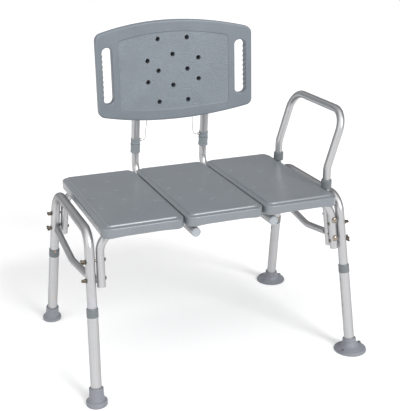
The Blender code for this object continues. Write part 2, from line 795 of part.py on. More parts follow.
def back_ring(inset, depth, scale=1.0):
    """The outline drawn in by an inset, shrunk about the middle and laid on the bowed panel."""
    ring = []
    for x, z in barrel_outline(inset):
        x = BACK_CENTRE_X + (x - BACK_CENTRE_X) * scale
        z = BACK_MIDDLE + (z - BACK_MIDDLE) * scale
        ring.append((x, back_front_y(x, z) + depth, z))
    return ring


def backrest_panel(name):
    shares = (0.1, 0.35, 0.6, 0.8)
    rings = [back_ring(0.006, 0, share) for share in shares]
    rings += [back_ring(inset, depth) for inset, depth in (
        (0.006, 0), (0.002, 0.001), (0.0, 0.006), (0.001, 0.012),
        (0.005, BACK_THICKNESS - 0.003), (0.010, BACK_THICKNESS))]
    rings += [back_ring(0.010, BACK_THICKNESS, share) for share in reversed(shares)]
    panel = finish(name, loft(name, rings), "plastic")
    front = BACK_FRONT_Y - BACK_BOW - 0.02
    rear = BACK_FRONT_Y + BACK_THICKNESS + 0.02
    through = [((x, front, z), (x, rear, z), BACK_HOLE_RADIUS) for x, z in back_holes()]
    cut(panel, rod_cutter(name + "_holes", through, 8))
    for side in SIDES.values():
        cut(panel, slot_cutter(name, side, front, rear))


def back_holes():
    """Six pairs of drain holes, mirrored about the panel's middle."""
    for x, z in ((0.046, 0.093), (0.0, 0.046), (0.0806, 0.0315), (0.046, 0.0)):
        for side in ((1, -1) if x else (1,)):
            for up in ((1, -1) if z else (1,)):
                yield BACK_HOLES_X + side * x, BACK_MIDDLE + up * z


def slot_cutter(name, side, front, rear):
    """A tall rounded handle opening near the panel's side."""
    outline = rounded_rectangle(SLOT_WIDTH, SLOT_HEIGHT, SLOT_WIDTH * 0.45)
    centre = BACK_CENTRE_X + side * SLOT_OFFSET
    rings = [[(centre + x, y, BACK_MIDDLE + z) for x, z in outline] for y in (front, rear)]
    return hidden(f"{name}_slot_{side}", loft(name + "_slot", rings))


TETHER_ROUTES = {
    "left": ((0.0283, 0.0, 0.0), (0.0315, 0.0, 0.0045), (0.0320, -0.002, 0.018),
             (0.0330, -0.006, 0.040), (0.0340, -0.013, 0.066), (0.0340, -0.020, 0.084),
             (0.0340, -0.0292, 0.0905)),
    "right": ((0.0283, 0.0, 0.0), (0.0330, 0.0, 0.0030), (0.0370, -0.002, 0.014),
              (0.0400, -0.006, 0.036), (0.0430, -0.013, 0.062), (0.0445, -0.020, 0.083),
              (0.0445, -0.0292, 0.0905)),
}


def build_seat():
    for name, index in (("left", -1), ("middle", 0), ("right", 1)):
        panel = seat_panel(f"seat_panel_{name}", index)
        if name == "right":
            notch_for_posts(panel)
    for name, end in ENDS.items():
        seat_rail(f"seat_rail_{name}", end)


def build_legs():
    for side_name, side in SIDES.items():
        leg_bow(f"leg_bow_{side_name}", side)
        cross_brace(f"cross_brace_{side_name}", side)
        for end_name, end in ENDS.items():
            corner = f"{end_name}_{side_name}"
            leg_extension(f"leg_extension_{corner}", side, end)
            leg_collar(f"leg_collar_{corner}", side, end)
            leg_button(f"leg_button_{corner}", side, end)
            for level, height in (("upper", UPPER_BOLT), ("lower", LOWER_BOLT)):
                wing_bolt(f"wing_bolt_{corner}_{level}", side, end, height)
            if side < 0:
                rubber_tip(f"rubber_tip_{corner}", side, end)
            else:
                suction_cup(f"suction_cup_{corner}", side, end)


def build_arm():
    arm_rail("arm_rail")
    for name, end in ENDS.items():
        arm_post(f"arm_post_{name}", end)
        arm_collar(f"arm_collar_{name}", end)
        for level, height in ARM_BOLTS.items():
            arm_bolt(f"arm_bolt_{name}_{level}", end, height)


def build_backrest():
    backrest_panel("backrest_panel")
    split = UPPER_POST_BOTTOM - 2 * CLEARANCE
    for name, side in SIDES.items():
        x = POSTS_X + side * POST_SPACING / 2
        inward = -side
        cross_tube(f"cross_tube_{name}", x)
        end_cap(f"end_cap_{name}", x)
        lower_post(f"lower_post_{name}", x, inward)
        upper_post(f"upper_post_{name}", x, inward)
        post_ring(f"lower_ring_{name}", x, LOWER_RING_BOTTOM, split, POST_RADIUS + CLEARANCE,
                  LOWER_RING_RADIUS)
        ring = post_ring(f"upper_ring_{name}", x, UPPER_POST_BOTTOM, UPPER_RING_TOP,
                         TUBE_RADIUS + CLEARANCE, UPPER_RING_RADIUS)
        cut(ring, pin_cutter(f"upper_ring_{name}", x, inward))
        lock_pin(f"lock_pin_{name}", x, inward)
        start = post_point(x, PIN_HEIGHT)
        tether(f"tether_{name}", [start + Vector((inward * dx, dy, dz))
                                  for dx, dy, dz in TETHER_ROUTES[name]])


def centre_on_floor():
    """Move everything so that the origin is under the middle of the overall box."""
    for item in bpy.data.objects:
        item.location -= Vector((BOX_MIDDLE_X, BOX_MIDDLE_Y, 0))


clear_scene()
build_seat()
build_legs()
build_arm()
build_backrest()
centre_on_floor()
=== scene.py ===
"""The looks of a bath transfer bench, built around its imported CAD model.

Units are metres and +Z is up. Shapes are worked out in a frame whose origin lies between
the four feet, and each finished mesh is then moved into the model's own frame.
"""
import math

import bmesh
import bpy
from mathutils import Matrix, Vector


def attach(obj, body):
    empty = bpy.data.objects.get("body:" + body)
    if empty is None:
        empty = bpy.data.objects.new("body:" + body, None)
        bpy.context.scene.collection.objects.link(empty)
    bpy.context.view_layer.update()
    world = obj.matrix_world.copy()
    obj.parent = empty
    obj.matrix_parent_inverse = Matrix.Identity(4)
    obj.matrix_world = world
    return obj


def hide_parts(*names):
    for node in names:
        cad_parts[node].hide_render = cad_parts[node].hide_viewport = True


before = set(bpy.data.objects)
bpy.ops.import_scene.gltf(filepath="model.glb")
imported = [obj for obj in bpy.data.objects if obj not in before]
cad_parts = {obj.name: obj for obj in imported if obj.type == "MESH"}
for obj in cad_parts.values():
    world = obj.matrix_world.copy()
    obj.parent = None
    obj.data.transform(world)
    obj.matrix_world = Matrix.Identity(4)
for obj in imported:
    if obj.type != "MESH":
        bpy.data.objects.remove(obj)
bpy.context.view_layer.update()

# From the frame between the feet to the model's frame
TO_MODEL = Matrix.Translation((-0.0095, -0.0046, 0.0))

SIDES = {"left": -1, "right": 1}
ENDS = {"front": -1, "back": 1}
GAP = 0.0003
ROUND = 48
BEND_STEP = math.radians(5)

# Seat
SEAT_TOP = 0.472
PANEL_PITCH = 0.2255
PANEL_SIZE = (0.221, 0.449)
PANEL_THICKNESS = 0.030
PANEL_CORNER = 0.025
RIM_DROP = 0.0055
RIM_BAND = 0.011

# Legs
FOOT_X = 0.381
FOOT_Y = 0.259
LEAN_X = 0.0425
LEAN_Y = {-1: 0.179, 1: 0.192}
TUBE = 0.0127
RAIL = 0.0111
EXTENSION = 0.0143
WALL = 0.0013
BOW_BOTTOM = 0.100
BOW_TOP = 0.4475
BOW_BENDS = (0.052, 0.085)
EXTENSION_BOTTOM = 0.018
EXTENSION_TOP = 0.250
HOLE_COUNT = 6
HOLE_LOWEST = 0.1112
HOLE_PITCH = 0.0254
HOLE_RADIUS = 0.0035
COLLAR_BOTTOM = 0.2310
COLLAR_TOP = 0.255
COLLAR_RADIUS = 0.0154
COLLAR_STEP = 0.251
BUTTON_HOLE = 0.0037
TIP_HEIGHT = 0.045
CUP_HEIGHT = 0.036
RAIL_HEIGHT = 0.4415
RAIL_END = 0.305
RAIL_BEND = 0.050
CHANNEL_RADIUS = 0.0118
CHANNEL_END = 0.3215
RAIL_TO_LEG = 0.0271
BOLT_HEIGHTS = {"upper": 0.375, "lower": 0.327}
BRACE = 0.019
BRACE_DIP = 0.301
BRACE_BEND = 0.10
STRIP_WIDTH = 0.025
STRIP_THICKNESS = 0.002
STRIP_TO_LEG = 0.0145
STRIP_TO_BRACE = 0.0135

# Arm
ARM_X = 0.3385
ARM_Y = 0.148
ARM_POST = 0.0095
ARM_TUBE = 0.0109
ARM_WALL = 0.0011
ARM_POST_WALL = 0.0012
ARM_POST_BOTTOM = 0.302
ARM_POST_KINK = 0.430
ARM_POST_TOP = 0.512
ARM_POST_BEND = 0.060
ARM_NOTCH = 0.0157
ARM_COLLAR_BOTTOM = 0.4680
ARM_BOTTOM = 0.4710
ARM_KINK = 0.527
ARM_TOP = 0.682
ARM_BENDS = (0.060, 0.055, 0.055, 0.060)
ARM_LEAN = 0.31
ARM_BOLT_X = 0.3395
ARM_BOLT_HEIGHTS = {"upper": 0.388, "lower": 0.337}

# Backrest and its posts
POSTS_X = 0.032
POST_SPACING = 0.226
CROSS_HEIGHT = RAIL_HEIGHT - RAIL - TUBE - GAP
CROSS_END = 0.206
POST_FOOT_Y = 0.3103
POST_LEAN = 0.13
POST_RADIUS = 0.0111
POST_START = 0.060
POST_BEND = 0.050
LOWER_POST_TOP = 0.640
UPPER_POST_BOTTOM = 0.5265
UPPER_POST_TOP = 0.800
UPPER_POST_BEND = 0.10
UPPER_RING_TOP = 0.544
UPPER_RING_RADIUS = 0.0146
LOWER_RING_BOTTOM = 0.4975
LOWER_RING_RADIUS = 0.0153
PIN_HEIGHT = 0.536
PIN_HOLE = 0.0030
BACK_X = 0.0275
BACK_HALF = 0.2433
BACK_MIDDLE = 0.755
BACK_THICKNESS = 0.024
BACK_FRONT_Y = 0.2489
BACK_BOW = 0.0377
BACK_TILT = 0.0531
UPPER_POST_Y = 0.2788

# Studio
FLOOR_RADIUS = 7.0
CAMERA_PLACE = (-0.8655, -2.1486, 1.252)
CAMERA_DIP = 0.350
CAMERA_HEADING = -0.386
CAMERA_LENS = 77.25
CAMERA_SHIFT = (-0.00125, 0.00125)


# ---------------------------------------------------------------- materials

def node(tree, kind, inputs=None, **settings):
    """A shader node whose inputs are numbers or other nodes' outputs."""
    made = tree.nodes.new(kind)
    for key, value in settings.items():
        setattr(made, key, value)
    for key, value in (inputs or {}).items():
        if isinstance(value, bpy.types.NodeSocket):
            tree.links.new(value, made.inputs[key])
        else:
            made.inputs[key].default_value = value
    return made


def noise(tree, place, scale, detail=4.0, roughness=0.55, squeeze=None):
    if squeeze:
        place = node(tree, "ShaderNodeMapping", {"Vector": place, "Scale": squeeze}).outputs[0]
    values = {"Vector": place, "Scale": scale, "Detail": detail, "Roughness": roughness}
    return node(tree, "ShaderNodeTexNoise", values).outputs["Fac"]


def span(tree, value, low, high, start=0.3, stop=0.7):
    """The value's range from start to stop, stretched to lie from low to high."""
    values = {"Value": value, "From Min": start, "From Max": stop, "To Min": low, "To Max": high}
    return node(tree, "ShaderNodeMapRange", values).outputs["Result"]


def blend(tree, share, first, second):
    """A colour between two others, which are colours or outputs."""
    mixer = node(tree, "ShaderNodeMix", data_type="RGBA")
    for index, value in ((0, share), (6, first), (7, second)):
        if isinstance(value, bpy.types.NodeSocket):
            tree.links.new(value, mixer.inputs[index])
        else:
            mixer.inputs[index].default_value = value
    return mixer.outputs[2]


def shade(colour, factor):
    return (*(min(1.0, channel * factor) for channel in colour), 1.0)


def new_material(name, metallic=0.0, **sockets):
    material = bpy.data.materials.new(name)
    material.use_nodes = True
    tree = material.node_tree
    shader = tree.nodes["Principled BSDF"]
    shader.inputs["Metallic"].default_value = metallic
    for key, value in sockets.items():
        shader.inputs[key.replace("_", " ")].default_value = value
    return material, tree, shader


def wire(tree, shader, colour, roughness, height, distance, strength=1.0):
    bump = node(tree, "ShaderNodeBump", {"Height": height, "Distance": distance,
                                         "Strength": strength})
    tree.links.new(colour, shader.inputs["Base Color"])
    tree.links.new(roughness, shader.inputs["Roughness"])
    tree.links.new(bump.outputs[0], shader.inputs["Normal"])


def moulded(name, colour, rough, grain, depth, coat=0.0):
    """Moulded plastic or rubber: cloudy colour, pebbled skin and paler rubbed patches."""
    material, tree, shader = new_material(name, Coat_Weight=coat, Coat_Roughness=0.18)
    place = node(tree, "ShaderNodeTexCoord").outputs["Object"]
    rubbed = noise(tree, place, 6.0, 8.0, 0.7)
    cloud = noise(tree, place, 14.0, 5.0)
    pebble = noise(tree, place, 1.0 / grain, 3.0, 0.6)
    speck = noise(tree, place, 0.35 / grain, 2.0)
    body = blend(tree, span(tree, cloud, 0.0, 1.0), shade(colour, 0.94), shade(colour, 1.06))
    grained = blend(tree, span(tree, speck, 0.0, 0.5), body, shade(colour, 0.86))
    worn = span(tree, rubbed, 0.0, 0.5, 0.58, 0.80)
    finish = blend(tree, worn, grained, shade(colour, 1.2))
    gloss = span(tree, cloud, rough - 0.05, rough + 0.07)
    wire(tree, shader, finish, gloss, pebble, depth)
    return material


def drawn(name, colour, rough, metallic=1.0):
    """Drawn tube: streaks along its length, faint scuffs and a satin skin."""
    material, tree, shader = new_material(name, metallic, Specular_Tint=(0.42, 0.42, 0.43, 1))
    coords = node(tree, "ShaderNodeTexCoord")
    along = coords.outputs["UV"]
    place = coords.outputs["Object"]
    broad = noise(tree, along, 1.0, 3.0, 0.5, (26.0, 5.0, 1.0))
    fine = noise(tree, along, 1.0, 6.0, 0.7, (240.0, 9.0, 1.0))
    scuff = noise(tree, place, 55.0, 8.0, 0.75)
    body = blend(tree, span(tree, broad, 0.0, 1.0), shade(colour, 0.93), shade(colour, 1.04))
    marks = span(tree, scuff, 0.0, 0.5, 0.60, 0.72)
    finish = blend(tree, marks, body, shade(colour, 0.84))
    gloss = span(tree, fine, rough - 0.05, rough + 0.08)
    wire(tree, shader, finish, gloss, fine, 0.00003, 0.6)
    return material


def plated(name, colour, rough, metallic=1.0):
    """Turned or plated small metalwork, a little mottled."""
    material, tree, shader = new_material(name, metallic)
    place = node(tree, "ShaderNodeTexCoord").outputs["Object"]
    mottle = noise(tree, place, 260.0, 5.0, 0.6)
    fine = noise(tree, place, 1500.0, 3.0, 0.6)
    finish = blend(tree, span(tree, mottle, 0.0, 1.0), shade(colour, 0.8), shade(colour, 1.1))
    gloss = span(tree, mottle, rough - 0.05, rough + 0.12)
    wire(tree, shader, finish, gloss, fine, 0.00003, 0.5)
    return material


def twisted(name, colour):
    """A thin twisted cord."""
    material, tree, shader = new_material(name, Sheen_Weight=0.3)
    place = node(tree, "ShaderNodeTexCoord").outputs["Object"]
    strands = node(tree, "ShaderNodeTexWave", {"Vector": place, "Scale": 420.0, "Distortion": 2.0},
                   bands_direction="DIAGONAL").outputs["Fac"]
    fuzz = noise(tree, place, 900.0, 4.0)
    finish = blend(tree, strands, shade(colour, 0.78), shade(colour, 1.05))
    wire(tree, shader, finish, span(tree, fuzz, 0.5, 0.8), strands, 0.0001)
    return material


ALUMINIUM = (0.54, 0.541, 0.548)
MATERIALS = {name: maker(name, *values) for name, maker, *values in (
    ("seat_plastic", moulded, (0.193, 0.213, 0.233), 0.33, 0.0011, 0.00010, 0.5),
    ("back_plastic", moulded, (0.178, 0.203, 0.231), 0.42, 0.0012, 0.00012),
    ("back_grain", moulded, (0.210, 0.240, 0.268), 0.42, 0.0042, 0.00300),
    # painted shade: the hole walls are the panel's own plastic, and this near-black colour stands in
    # for the shade inside the drain holes
    ("back_hollow", moulded, (0.050, 0.058, 0.066), 0.60, 0.0012, 0.00010),
    ("rail_tube", drawn, ALUMINIUM, 0.40),
    ("bow_tube", drawn, ALUMINIUM, 0.40),
    ("brace_tube", drawn, ALUMINIUM, 0.46),
    ("extension_tube", drawn, ALUMINIUM, 0.43),
    ("arm_tube", drawn, ALUMINIUM, 0.37),
    ("cross_tube", drawn, ALUMINIUM, 0.43),
    ("post_tube", drawn, ALUMINIUM, 0.40),
    ("collar_plastic", moulded, (0.155, 0.174, 0.184), 0.46, 0.0008, 0.00008),
    ("ring_plastic", moulded, (0.235, 0.265, 0.285), 0.46, 0.0008, 0.00008),
    ("label_film", moulded, (0.43, 0.43, 0.46), 0.45, 0.0008, 0.00003),
    ("cap_plastic", moulded, (0.36, 0.39, 0.42), 0.42, 0.0008, 0.00006),
    ("foot_rubber", moulded, (0.210, 0.220, 0.246), 0.50, 0.0009, 0.00012),
    ("button_brass", plated, (0.70, 0.52, 0.30), 0.30),
    ("wing_brass", plated, (0.20, 0.175, 0.135), 0.20),
    ("dome_steel", plated, (0.36, 0.31, 0.26), 0.12),
    ("pin_steel", plated, (0.58, 0.57, 0.55), 0.25),
    ("tether_cord", twisted, (0.36, 0.34, 0.29)),
    ("copper", plated, (0.66, 0.36, 0.24), 0.32),
)}


# ---------------------------------------------------------------- shapes

def skin(rings, closed=False):
    """A skin over rings of points. Its UV map runs round each ring and along the length."""
    bm = bmesh.new()
    chart = bm.loops.layers.uv.new("Along")
    loops = [[bm.verts.new(point) for point in ring] for ring in rings]
    count = len(rings[0])
    pairs = list(zip(loops, loops[1:])) + ([(loops[-1], loops[0])] if closed else [])
    travel = 0.0
    for low, high in pairs:
        step = (low[0].co - high[0].co).length
        for i in range(count):
            j = (i + 1) % count
            face = bm.faces.new((low[i], low[j], high[j], high[i]))
            corners = ((i, travel), (i + 1, travel), (i + 1, travel + step), (i, travel + step))
            for loop, (turn, along) in zip(face.loops, corners):
                loop[chart].uv = (turn / count, along)
        travel += step
    if not closed:
        bm.faces.new(loops[0])
        bm.faces.new(loops[-1])
    bmesh.ops.recalc_face_normals(bm, faces=bm.faces)
    mesh = bpy.data.meshes.new("skin")
    bm.to_mesh(mesh)
    bm.free()
    return mesh


def circle(centre, axis, radius, sides=ROUND):
    axis = Vector(axis).normalized()
    guide = Vector((1, 0, 0)) if abs(axis.x) < 0.7 else Vector((0, 1, 0))
    across = (guide - axis * guide.dot(axis)).normalized()
    along = axis.cross(across)
    turns = [2 * math.pi * i / sides for i in range(sides)]
    centre = Vector(centre)
    return [centre + radius * (math.cos(t) * across + math.sin(t) * along) for t in turns]


def soften(outline, radius, steps=3, closed=False):
    """Round the corners of a flat outline."""
    last = len(outline) - 1
    points = []
    for i, place in enumerate(outline):
        if not closed and i in (0, last):
            points.append(tuple(place))
            continue
        here = Vector(place)
        back = Vector(outline[i - 1]) - here
        ahead = Vector(outline[(i + 1) % len(outline)]) - here
        reach = min(radius, back.length * 0.45, ahead.length * 0.45)
        start = here + back.normalized() * reach
        stop = here + ahead.normalized() * reach
        for step in range(steps + 1):
            t = step / steps
            points.append(tuple((1 - t) ** 2 * start + 2 * t * (1 - t) * here + t * t * stop))
    return points


def lathe(base, axis, profile, sides=ROUND, closed=False):
    """A turned piece from (distance along the axis, radius) pairs."""
    base = Vector(base)
    axis = Vector(axis).normalized()
    return skin([circle(base + axis * step, axis, max(radius, 0.00005), sides)
                 for step, radius in profile], closed)


def rounded_path(corners, radii):
    """Replace each inner corner of a polyline with an arc."""
    corners = [Vector(corner) for corner in corners]
    points = [corners[0]]
    for before, corner, after, radius in zip(corners, corners[1:], corners[2:], radii):
        back = (before - corner).normalized()
        ahead = (after - corner).normalized()
        turn = math.pi - back.angle(ahead)
        reach = radius * math.tan(turn / 2)
        centre = corner + (back + ahead).normalized() * (radius / math.cos(turn / 2))
        spoke = corner + back * reach - centre
        swing = back.cross(ahead).normalized()
        steps = max(4, math.ceil(turn / BEND_STEP))
        for step in range(steps + 1):
            points.append(centre + Matrix.Rotation(-turn * step / steps, 3, swing) @ spoke)
    points.append(corners[-1])
    return points


def path_frames(points):
    """A tangent and two cross directions at each point, carried along without twist."""
    tangents = []
    for i, point in enumerate(points):
        before = point - points[i - 1] if i else points[1] - points[0]
        after = points[i + 1] - point if i < len(points) - 1 else before
        tangents.append((before.normalized() + after.normalized()).normalized())
    guide = Vector((1, 0, 0)) if abs(tangents[0].x) < 0.7 else Vector((0, 1, 0))
    across = (guide - tangents[0] * guide.dot(tangents[0])).normalized()
    frames = []
    for i, tangent in enumerate(tangents):
        if i:
            across = tangents[i - 1].rotation_difference(tangent) @ across
        across = (across - tangent * across.dot(tangent)).normalized()
        frames.append((tangent, across, tangent.cross(across)))
    return frames


def tube(corners, radii, radius, wall):
    """An open tube along a bent path, with its cut ends deburred."""
    points = rounded_path(corners, radii)
    lip = wall * 0.3
    first = (points[1] - points[0]).normalized() * lip
    last = (points[-1] - points[-2]).normalized() * lip
    points = [points[0], points[0] + first] + points[1:-1] + [points[-1] - last, points[-1]]
    frames = path_frames(points)
    end = len(points) - 1
    turns = [2 * math.pi * i / ROUND for i in range(ROUND)]

    def ring(i, size):
        _, across, along = frames[i]
        return [points[i] + size * (math.cos(t) * across + math.sin(t) * along) for t in turns]

    outer = [ring(i, radius - (lip if i in (0, end) else 0)) for i in range(end + 1)]
    inner = [ring(i, radius - wall + (lip if i in (0, end) else 0)) for i in range(end + 1)]
    return skin(outer + inner[::-1], closed=True)


def turned_ring(base, axis, profile, rounding):
    """A closed ring about the axis, with its edges rounded."""
    return lathe(base, axis, soften(profile, rounding, 2, True), ROUND, True)


def rod(start, end, radius, sides=24):
    start = Vector(start)
    end = Vector(end)
    return skin([circle(start, end - start, radius, sides), circle(end, end - start, radius, sides)])


def joined(meshes):
    """Several closed meshes as one mesh, which stay apart from each other."""
    bm = bmesh.new()
    for mesh in meshes:
        bm.from_mesh(mesh)
        bpy.data.meshes.remove(mesh)
    whole = bpy.data.meshes.new("joined")
    bm.to_mesh(whole)
    bm.free()
    return whole


def placed(name, data):
    """A new object in the scene that holds the data."""
    made = bpy.data.objects.new(name, data)
    bpy.context.scene.collection.objects.link(made)
    return made


def carve(mesh, cutter, operation="DIFFERENCE"):
    """The mesh after a Boolean with the cutter, which is used up."""
    pair = [placed("work", item) for item in (mesh, cutter)]
    modifier = pair[0].modifiers.new("carve", "BOOLEAN")
    modifier.solver = "EXACT"
    modifier.operation = operation
    modifier.object = pair[1]
    graph = bpy.context.evaluated_depsgraph_get()
    result = bpy.data.meshes.new_from_object(
        pair[0].evaluated_get(graph), preserve_all_data_layers=True, depsgraph=graph)
    for item in pair:
        bpy.data.objects.remove(item)
    for item in (mesh, cutter):
        bpy.data.meshes.remove(item)
    return result


def straighten(mesh, broad_normal):
    """Give the broad faces their exact normals, so that the cuts in them leave no marks."""
    exact = {}
    for polygon in mesh.polygons:
        for vertex in polygon.vertices:
            normal = broad_normal(polygon, mesh.vertices[vertex].co)
            if normal:
                exact[vertex] = normal
    normals = [corner.vector.copy() for corner in mesh.corner_normals]
    for polygon in mesh.polygons:
        for loop in polygon.loop_indices:
            normal = exact.get(mesh.loops[loop].vertex_index)
            if normal and normal.dot(polygon.normal) > 0.82:
                normals[loop] = normal
    mesh.normals_split_custom_set(normals)


def piece(name, mesh, slot, body, replaced=(), finishes=None, sharp=40, broad_normal=None):
    """A visible piece in the model's frame that rides on its body."""
    mesh.shade_smooth()
    mesh.set_sharp_from_angle(angle=math.radians(sharp))
    if broad_normal:
        straighten(mesh, broad_normal)
    mesh.transform(TO_MODEL)
    mesh.materials.clear()
    for finish in finishes or (slot,):
        mesh.materials.append(MATERIALS[finish])
    mesh.name = name
    made = placed(name, mesh)
    if not broad_normal:
        level = made.modifiers.new("flat_faces", "WEIGHTED_NORMAL")
        level.keep_sharp = True
        level.weight = 90
    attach(made, body)
    if replaced:
        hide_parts(*replaced)
    return made


def stand_in(node_name, mesh, slot, body, **options):
    """The detailed piece for one CAD node."""
    return piece(node_name + "_detail", mesh, slot, body, (node_name,), **options)


# ---------------------------------------------------------------- seat

def rounded_rectangle(width, depth, radius, arc_steps=10):
    points = []
    for corner, (sx, sy) in enumerate(((1, 1), (-1, 1), (-1, -1), (1, -1))):
        cx = sx * (width / 2 - radius)
        cy = sy * (depth / 2 - radius)
        for step in range(arc_steps + 1):
            angle = math.pi / 2 * (corner + step / arc_steps)
            points.append((cx + radius * math.cos(angle), cy + radius * math.sin(angle)))
    return points


def dense(outline, step):
    """A closed outline with its long edges divided."""
    points = []
    for start, stop in zip(outline, outline[1:] + outline[:1]):
        start = Vector(start)
        stop = Vector(stop)
        parts = max(1, math.ceil((stop - start).length / step))
        points += [tuple(start.lerp(stop, i / parts)) for i in range(parts)]
    return points


def smoothstep(value):
    value = max(0.0, min(1.0, value))
    return value * value * (3 - 2 * value)


PANEL_RINGS = soften((
    (0.030, SEAT_TOP - PANEL_THICKNESS), (0.014, SEAT_TOP - PANEL_THICKNESS),
    (0.009, SEAT_TOP - PANEL_THICKNESS - 0.0001), (0.0, SEAT_TOP - PANEL_THICKNESS - 0.0001),
    (0.0, SEAT_TOP - RIM_DROP), (RIM_BAND, SEAT_TOP - RIM_DROP),
    (RIM_BAND + 0.0025, SEAT_TOP), (0.030, SEAT_TOP)), 0.0042, 4)
SKIRT_DROP = 0.0025
SKIRT_REACH = 0.055


def panel_ring(centre_x, inset, height):
    width, depth = PANEL_SIZE
    outline = dense(rounded_rectangle(width - 2 * inset, depth - 2 * inset,
                                      max(0.004, PANEL_CORNER - inset)), 0.012)
    low = SEAT_TOP - PANEL_THICKNESS
    ring = []
    for x, y in outline:
        corner = math.hypot(width / 2 - abs(x), depth / 2 - abs(y))
        drop = SKIRT_DROP * smoothstep(1.2 - corner / SKIRT_REACH)
        drop *= smoothstep(1 - (height - low) / 0.012) * smoothstep(1.6 - inset / 0.009)
        ring.append((centre_x + x, y, height - drop))
    return ring


def dimple_places(centre_x):
    for column in (-1, 0, 1):
        rows = (-1.5, -0.5, 0.5, 1.5) if column == 0 else (-1, 0, 1)
        for row in rows:
            yield centre_x + column * 0.078, row * 0.083


def leg_point(side, end, height):
    return Vector((side * (FOOT_X - LEAN_X * height), end * (FOOT_Y - LEAN_Y[end] * height), height))


def leg_axis(side, end):
    return Vector((-side * LEAN_X, -end * LEAN_Y[end], 1)).normalized()


def rail_y(end):
    return leg_point(1, end, RAIL_HEIGHT).y


BOWL = soften(((-0.0026, 0.0001), (-0.0025, 0.0030), (-0.0018, 0.0058), (-0.0007, 0.0080),
               (0.00006, 0.0098), (0.002, 0.0102)), 0.0012, 3)


def level_face(polygon, place):
    """Straight up on a level top face. Unlike bowed_face, it needs no place."""
    return Vector((0, 0, 1)) if polygon.normal.z > 0.99995 else None


def seat_panel(name, index):
    centre_x = index * PANEL_PITCH
    mesh = skin([panel_ring(centre_x, inset, height) for inset, height in PANEL_RINGS])
    mesh = carve(mesh, joined([lathe((x, y, SEAT_TOP), (0, 0, 1), BOWL, 20)
                               for x, y in dimple_places(centre_x)]))
    start = max(centre_x - 0.2, -CHANNEL_END)
    stop = min(centre_x + 0.2, CHANNEL_END)
    mesh = carve(mesh, joined([rod((start, rail_y(end), RAIL_HEIGHT),
                                   (stop, rail_y(end), RAIL_HEIGHT), CHANNEL_RADIUS, 40)
                               for end in ENDS.values()]))
    if name == "right":
        notches = [rod((ARM_X, end * ARM_Y, RAIL_END), (ARM_X, end * ARM_Y, ARM_POST_TOP),
                       ARM_NOTCH, 40) for end in ENDS.values()]
        mesh = carve(mesh, joined(notches))
    stand_in(f"seat_panel_{name}", mesh, "seat_plastic", "frame", broad_normal=level_face)


def seat_rail(name, end):
    offset = Vector((RAIL_TO_LEG, 0, 0))
    corners = []
    for side in (-1, 1):
        pair = [leg_point(side, end, height) - side * offset
                for height in (RAIL_END, RAIL_HEIGHT)]
        corners += pair if side < 0 else pair[::-1]
    stand_in(name, tube(corners, (RAIL_BEND, RAIL_BEND), RAIL, WALL), "rail_tube", "frame")


# ---------------------------------------------------------------- legs

def leg_bow(name, side):
    corners = [leg_point(side, -1, BOW_BOTTOM), leg_point(side, -1, BOW_TOP),
               leg_point(side, 1, BOW_TOP), leg_point(side, 1, BOW_BOTTOM)]
    mesh = tube(corners, BOW_BENDS, TUBE, WALL)
    rods = []
    for end in ENDS.values():
        middle = leg_point(side, end, HOLE_LOWEST + HOLE_PITCH * leg_axis(1, 1).z)
        rods.append(rod(middle, middle - Vector((side * 0.02, 0, 0)), HOLE_RADIUS))
    stand_in(name, carve(mesh, joined(rods)), "bow_tube", "frame")


def brace_ring(centre, drop, width, thickness):
    turns = [2 * math.pi * i / 32 for i in range(32)]
    return [centre + Vector((math.sin(t) * thickness / 2, 0, 0)) + drop * (math.cos(t) * width / 2)
            for t in turns]


def cross_brace(name, side):
    """A shallow V of round bar with its ends pressed flat and bolted between rail and leg."""
    height = BOLT_HEIGHTS["lower"]
    eye = leg_point(side, 1, height)
    strip_x = eye.x - side * STRIP_TO_LEG
    brace_x = strip_x + side * STRIP_TO_BRACE
    crush = eye.y - TUBE - 0.014
    path = rounded_path([(brace_x, -crush, height), (brace_x, 0, BRACE_DIP),
                         (brace_x, crush, height)], (BRACE_BEND,))
    frames = path_frames(path)
    rings = [brace_ring(p, f[0].cross(Vector((1, 0, 0))), BRACE, BRACE)
             for p, f in zip(path, frames)]
    up = Vector((0, 0, -1))
    flats = []
    for i in range(1, 9):
        t = smoothstep(i / 8)
        flats.append((crush + 0.009 * i / 8, 0.019 + 0.006 * t, 0.019 - 0.017 * t,
                      brace_x + (strip_x - brace_x) * t))
    for i in range(7):
        turn = math.pi / 2 * i / 6
        flats.append((eye.y - 0.001 + 0.0125 * math.sin(turn) * 0.88,
                      STRIP_WIDTH * max(0.12, math.cos(turn)), STRIP_THICKNESS, strip_x))
    for end in (-1, 1):
        strip = [brace_ring(Vector((x, end * y, height)), up, width, thick)
                 for y, width, thick, x in flats]
        rings = rings + strip if end > 0 else strip[::-1] + rings
    stand_in(name, skin(rings), "brace_tube", "frame")


def height_holes(side, end, places, radius=HOLE_RADIUS):
    lift = leg_axis(side, end) * HOLE_PITCH
    lowest = leg_point(side, end, HOLE_LOWEST)
    inward = Vector((-side * 0.03, 0, 0))
    return joined([rod(lowest + lift * i, lowest + lift * i + inward, radius) for i in places])


def leg_extension(corner, side, end):
    name = f"leg_extension_{corner}"
    ends = [leg_point(side, end, height) for height in (EXTENSION_BOTTOM, EXTENSION_TOP)]
    mesh = carve(tube(ends, (), EXTENSION, WALL), height_holes(side, end, range(HOLE_COUNT)))
    stand_in(name, mesh, "extension_tube", f"extension_{corner}")


